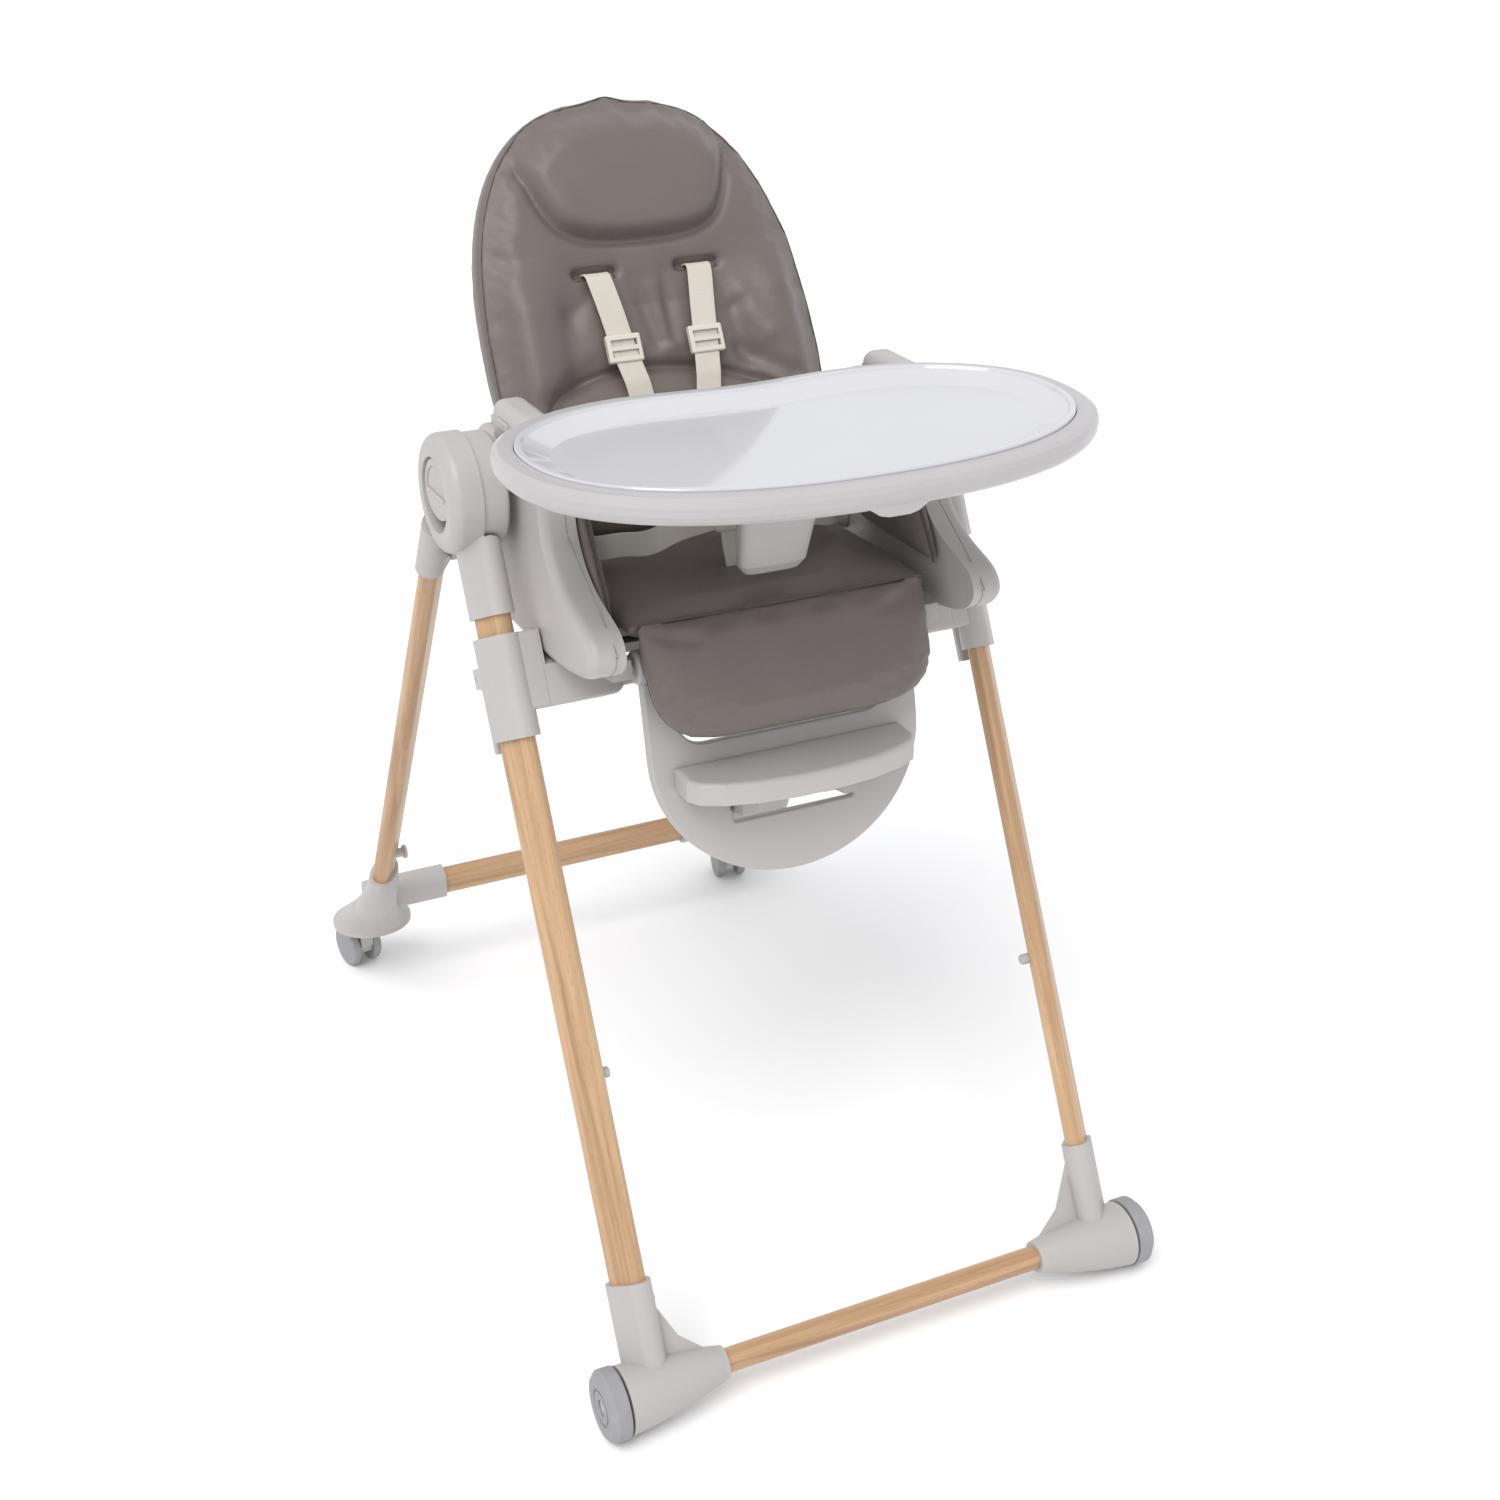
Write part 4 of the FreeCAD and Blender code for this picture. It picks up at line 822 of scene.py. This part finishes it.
def make_bolsters():
    low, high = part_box("side_bolsters")
    outline = [(low.y + 0.004, 0.653), (low.y + 0.012, 0.668), (-0.176, 0.694), (-0.158, 0.722), (-0.146, 0.748),
               (-0.139, 0.764), (-0.100, 0.765), (-0.050, 0.765), (-0.004, 0.765), (-0.020, 0.740), (-0.038, 0.706),
               (-0.055, 0.668), (-0.062, 0.655), (-0.110, 0.652), (-0.160, 0.652)]
    centre = (-0.105, 0.702)
    inner, outer = high.x - 0.0149, high.x - 0.0002
    for name, side in (("left", -1), ("right", 1)):
        def place(y, z, x):
            return Vector((side * x, y, z))

        profile = [(0.15, inner - 0.004), (0.5, inner - 0.0035), (0.75, inner - 0.001), (0.90, inner + 0.0025),
                   (0.97, inner + 0.006), (1.0, inner + 0.010), (0.985, outer - 0.001), (0.9, outer), (0.3, outer)]
        dense = flat_smooth(outline + outline[:1], 4)[:-1]
        if side < 0:
            dense = dense[::-1]
        pad = ring_pad("side_bolster_" + name, dense, centre, profile, place, materials["leatherette"])
        remesh(pad, 0.004)
        co = points_of(pad)
        stuff(pad, np.abs(co[:, 0]) > outer - 0.003, 0.004, (1, 0, 0), 3.0)
        subdivide(pad)
        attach(pad, "seat")
        if side < 0:
            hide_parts("side_bolsters")
        edge = [Vector((side * (inner + 0.0068), y, z)) for y, z in outline[:6]]
        seam = tube("bolster_seam_" + name, smooth(edge, 6), 0.0011, THREAD)
        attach(seam, "seat")


# ---- legrest pad ---------------------------------------------------------------------------------
def pad_half_width(up):
    """Half-width of the pad at a height on its plane: straight sides and large round lower corners."""
    return float(np.interp(-up, PAD_DROPS, PAD_HALVES))


def make_legrest_pad():
    """One flat pad hanging from the seat's front edge."""
    section = [(CREASE_UP, PAD_FACE - 0.0020), (CREASE_UP + 0.0004, PAD_FACE - 0.0006),
               (CREASE_UP - 0.002, PAD_FACE), (0.026, PAD_FACE), (0.018, PAD_FACE), (0.008, PAD_FACE),
               (-0.002, PAD_FACE), (-0.014, PAD_FACE), (-0.026, PAD_FACE), (-0.038, PAD_FACE), (-0.048, PAD_FACE), (-0.056, PAD_FACE), (-0.062, PAD_FACE - 0.0002),
               (-0.067, PAD_FACE - 0.0012), (-0.0705, PAD_FACE - 0.0034), (-0.0724, PAD_FACE - 0.0065)]
    behind = [(-0.0724, PAD_BACK + 0.0050), (-0.0705, PAD_BACK + 0.0022), (-0.067, PAD_BACK + 0.0006),
              (-0.062, PAD_BACK),
              (-0.048, PAD_BACK), (-0.026, PAD_BACK), (-0.002, PAD_BACK), (0.008, PAD_BACK + 0.0006),
              (0.016, PAD_BACK + 0.0060), (CREASE_UP - 0.003, PAD_FACE - 0.0045)]
    loop = section + behind
    columns, rows = 56, []
    middle = (PAD_FACE + PAD_BACK) / 2
    for c in range(columns + 1):
        u = -math.cos(math.pi * c / columns)
        flat = max(0.0, 1 - abs(u) ** 12) ** 0.5
        for up, depth in loop:
            half = pad_half_width(up)
            rows.append(PAD.at(half * u, up, middle + (depth - middle) * (0.12 + 0.88 * flat)))
    pad = make_mesh("legrest_pad", rows, swept_faces(columns + 1, len(loop)), materials["leatherette"])
    remesh(pad, 0.0040)
    local = PAD.local(points_of(pad))
    stuff(pad, (local[:, 2] < PAD_BACK + 0.003) | (local[:, 1] > CREASE_UP - 0.006), 0.0045, PAD.front, 3.5)
    subdivide(pad)
    co = points_of(pad)
    local = PAD.local(co)
    front = np.clip((local[:, 2] - middle) / 0.005, 0, 1)
    dimple = 0.0011 * bell(local[:, 1] - CREASE_UP + 0.008, 0.007) * np.sin(local[:, 0] * 130 + 0.7)
    set_points(pad, co + (front * dimple)[:, None] * np.array(PAD.front))
    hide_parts("legrest_cushion")
    drops = [0.024, 0.012, 0.0, -0.015, -0.032, -0.045, -0.056, -0.063, -0.069, -0.0722]
    right = [(pad_half_width(up) - 0.0002, up) for up in drops]
    hem = right + [(0.034, -0.0730), (0.0, -0.0731), (-0.034, -0.0730)]
    hem += [(-x, up) for x, up in reversed(right)]
    shape = pad.evaluated_get(bpy.context.evaluated_depsgraph_get())
    edge = [shape.closest_point_on_mesh(point)[1]
            for point in smooth([PAD.at(x, up, PAD_BACK + 0.0035) for x, up in hem], 4)]
    bead = tube("legrest_hem", edge, 0.0009, HEM)
    row = [PAD.at(0.1365 * (k / 12 - 1), CREASE_UP + 0.0004, PAD_FACE - 0.0012) for k in range(25)]
    top_seam = tube("legrest_top_seam", smooth(row, 2), 0.0006, THREAD)
    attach(top_seam, "seat")
    for piece in (pad, bead):
        PAD.at(0, CREASE_UP - 0.002, PAD_FACE)
        PAD.at(0, -0.012, PAD_FACE)
        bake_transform(piece)


# ---- parting lines of the side shells ------------------------------------------------------------
def make_shell_seams():
    """Dark bead on each side shell along its parting line, painted shade for the seam's gap, found by casting
    inward at it from a fan of directions.
    """
    for name, side in (("left", -1), ("right", 1)):
        shell = frame["nodes"]["seat_side_" + name]
        back = shell.matrix_world.inverted()
        seam = []
        for k in range(46):
            angle = math.radians(2 * k)
            aim = Vector((0.173 * side, -0.190, 0.645 + 0.110 * (1 - k / 45) ** 2))
            outward = Vector((0, -math.cos(angle), -math.sin(angle)))
            hit, where, _, _ = shell.ray_cast(back @ (aim + outward * 0.3), back.to_3x3() @ -outward)
            if hit:
                seam.append(shell.matrix_world @ where)
        # the bead's dark plastic is painted shade for the parting line's gap
        line = tube("shell_seam_" + name, smooth(seam, 2), 0.0005, materials["seam_plastic"])
        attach(line, "seat")


# ---- harness -------------------------------------------------------------------------------------
def make_harness():
    buckle_low, buckle_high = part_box("harness_buckle")
    buckle = (buckle_low + buckle_high) / 2
    for name, side in (("left", -1), ("right", 1)):
        anchors = [BACK.at(SLOT_X * side, SLOT_UP, -0.030), BACK.at(SLOT_X * side, SLOT_UP, -0.004),
                   BACK.at(0.0505 * side, 0.2405, 0.0052), BACK.at(0.0495 * side, 0.232, 0.0078),
                   BACK.at(0.0455 * side, 0.205, 0.0086), BACK.at(0.041 * side, 0.170, 0.0090),
                   BACK.at(0.036 * side, 0.140, 0.0112), BACK.at(0.031 * side, 0.108, 0.0140),
                   Vector((0.024 * side, -0.070, 0.752)),
                   Vector((0.0145 * side, buckle.y + 0.010, buckle_high.z + 0.006))]
        strap = ribbon("shoulder_webbing_" + name, smooth(anchors, 8), 0.0245, 0.0016, materials["webbing"])
        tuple(anchors[7])
        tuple(anchors[9])
        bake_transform(strap)
        if side < 0:
            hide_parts("shoulder_straps")
        lap = [Vector((0.138 * side, -0.062, 0.668)), Vector((0.112 * side, -0.088, 0.672)),
               Vector((0.086 * side, -0.101, 0.677)), Vector((0.058 * side, -0.110, 0.685)),
               Vector((0.018 * side, buckle.y, buckle.z - 0.005))]
        path = [p + Vector((0, 0.0014 * math.cos(0.5 * k), 0.0016 * math.sin(0.36 * k + 1.7 * side)
                            * math.sin(math.pi * k / 32))) for k, p in enumerate(smooth(lap, 8))]
        belt = ribbon("lap_webbing_" + name, path, 0.022, 0.0016, materials["webbing"],
                      [(0, 0.18, 0.98)] * len(path))
        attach(belt, "seat")
        if side < 0:
            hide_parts("lap_straps")
    crotch = [Vector((0, -0.124, 0.6495)), Vector((0, -0.121, 0.658)), Vector((0, -0.116, 0.668)),
              Vector((0, buckle.y, buckle_low.z + 0.002))]
    strap = ribbon("crotch_webbing", smooth(crotch, 8), 0.0255, 0.0018, materials["webbing"])
    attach(strap, "seat")
    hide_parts("crotch_strap")


# ---- studio --------------------------------------------------------------------------------------
def make_studio():
    floor = make_mesh("floor", [(-30, -30, 0), (30, -30, 0), (30, 30, 0), (-30, 30, 0)], [(0, 1, 2, 3)],
                      studio_floor(), rounded=False)
    world = bpy.data.worlds.new("studio")
    bpy.context.scene.world = world
    world.use_nodes = True
    background = world.node_tree.nodes["Background"]
    background.inputs["Color"].default_value = (0.965, 0.975, 1.0, 1.0)
    background.inputs["Strength"].default_value = 0.88
    sun = bpy.data.lights.new("window", "SUN")
    sun.energy, sun.angle, sun.color = 1.45, math.radians(38), (1.0, 0.985, 0.96)
    lamp = bpy.data.objects.new("window", sun)
    lamp.rotation_mode = "QUATERNION"
    lamp.rotation_quaternion = Vector((0.45, 0.42, -0.95)).to_track_quat("-Z", "Y")
    bpy.context.scene.collection.objects.link(lamp)
    area_light("key", (-2.4, -2.6, 3.2), 2.4, 20.0, (1.0, 0.985, 0.96))
    bpy.context.scene.view_settings.view_transform = "Standard"


def studio_floor():
    s = Shader("studio_floor")
    s.colour(s.ramp(s.noise(0.6, 2.0), [(0.3, (0.93, 0.93, 0.93)), (0.7, (0.94, 0.94, 0.94))]))
    s.set(Roughness=0.9, Specular_IOR_Level=0.1)
    return s.material


def area_light(name, place, size, power, colour):
    data = bpy.data.lights.new(name, "AREA")
    data.shape = "SQUARE"
    data.size, data.energy, data.color = size, power, colour
    light = bpy.data.objects.new(name, data)
    light.location = place
    light.rotation_mode = "QUATERNION"
    light.rotation_quaternion = (Vector((0, -0.1, 0.5)) - Vector(place)).to_track_quat("-Z", "Y")
    bpy.context.scene.collection.objects.link(light)


def make_camera():
    azimuth, drop = math.radians(-25.75), math.radians(25.95)
    data = bpy.data.cameras.new("camera")
    data.lens, data.sensor_width = 50.0, 36.0
    data.clip_start, data.clip_end = 0.05, 120.0
    camera = bpy.data.objects.new("camera", data)
    camera.location = (-0.749, -1.699, 1.315)
    look = Vector((-math.sin(azimuth) * math.cos(drop), math.cos(azimuth) * math.cos(drop), -math.sin(drop)))
    camera.rotation_mode = "QUATERNION"
    camera.rotation_quaternion = look.to_track_quat("-Z", "Y")
    bpy.context.scene.collection.objects.link(camera)
    bpy.context.scene.camera = camera


# ---- build ---------------------------------------------------------------------------------------
make_camera()
make_studio()
dress_cad_nodes()
back_cover = make_backrest()
make_back_seams(back_cover)
make_seat_pad()
make_gusset()
make_bolsters()
make_legrest_pad()
make_shell_seams()
make_harness()
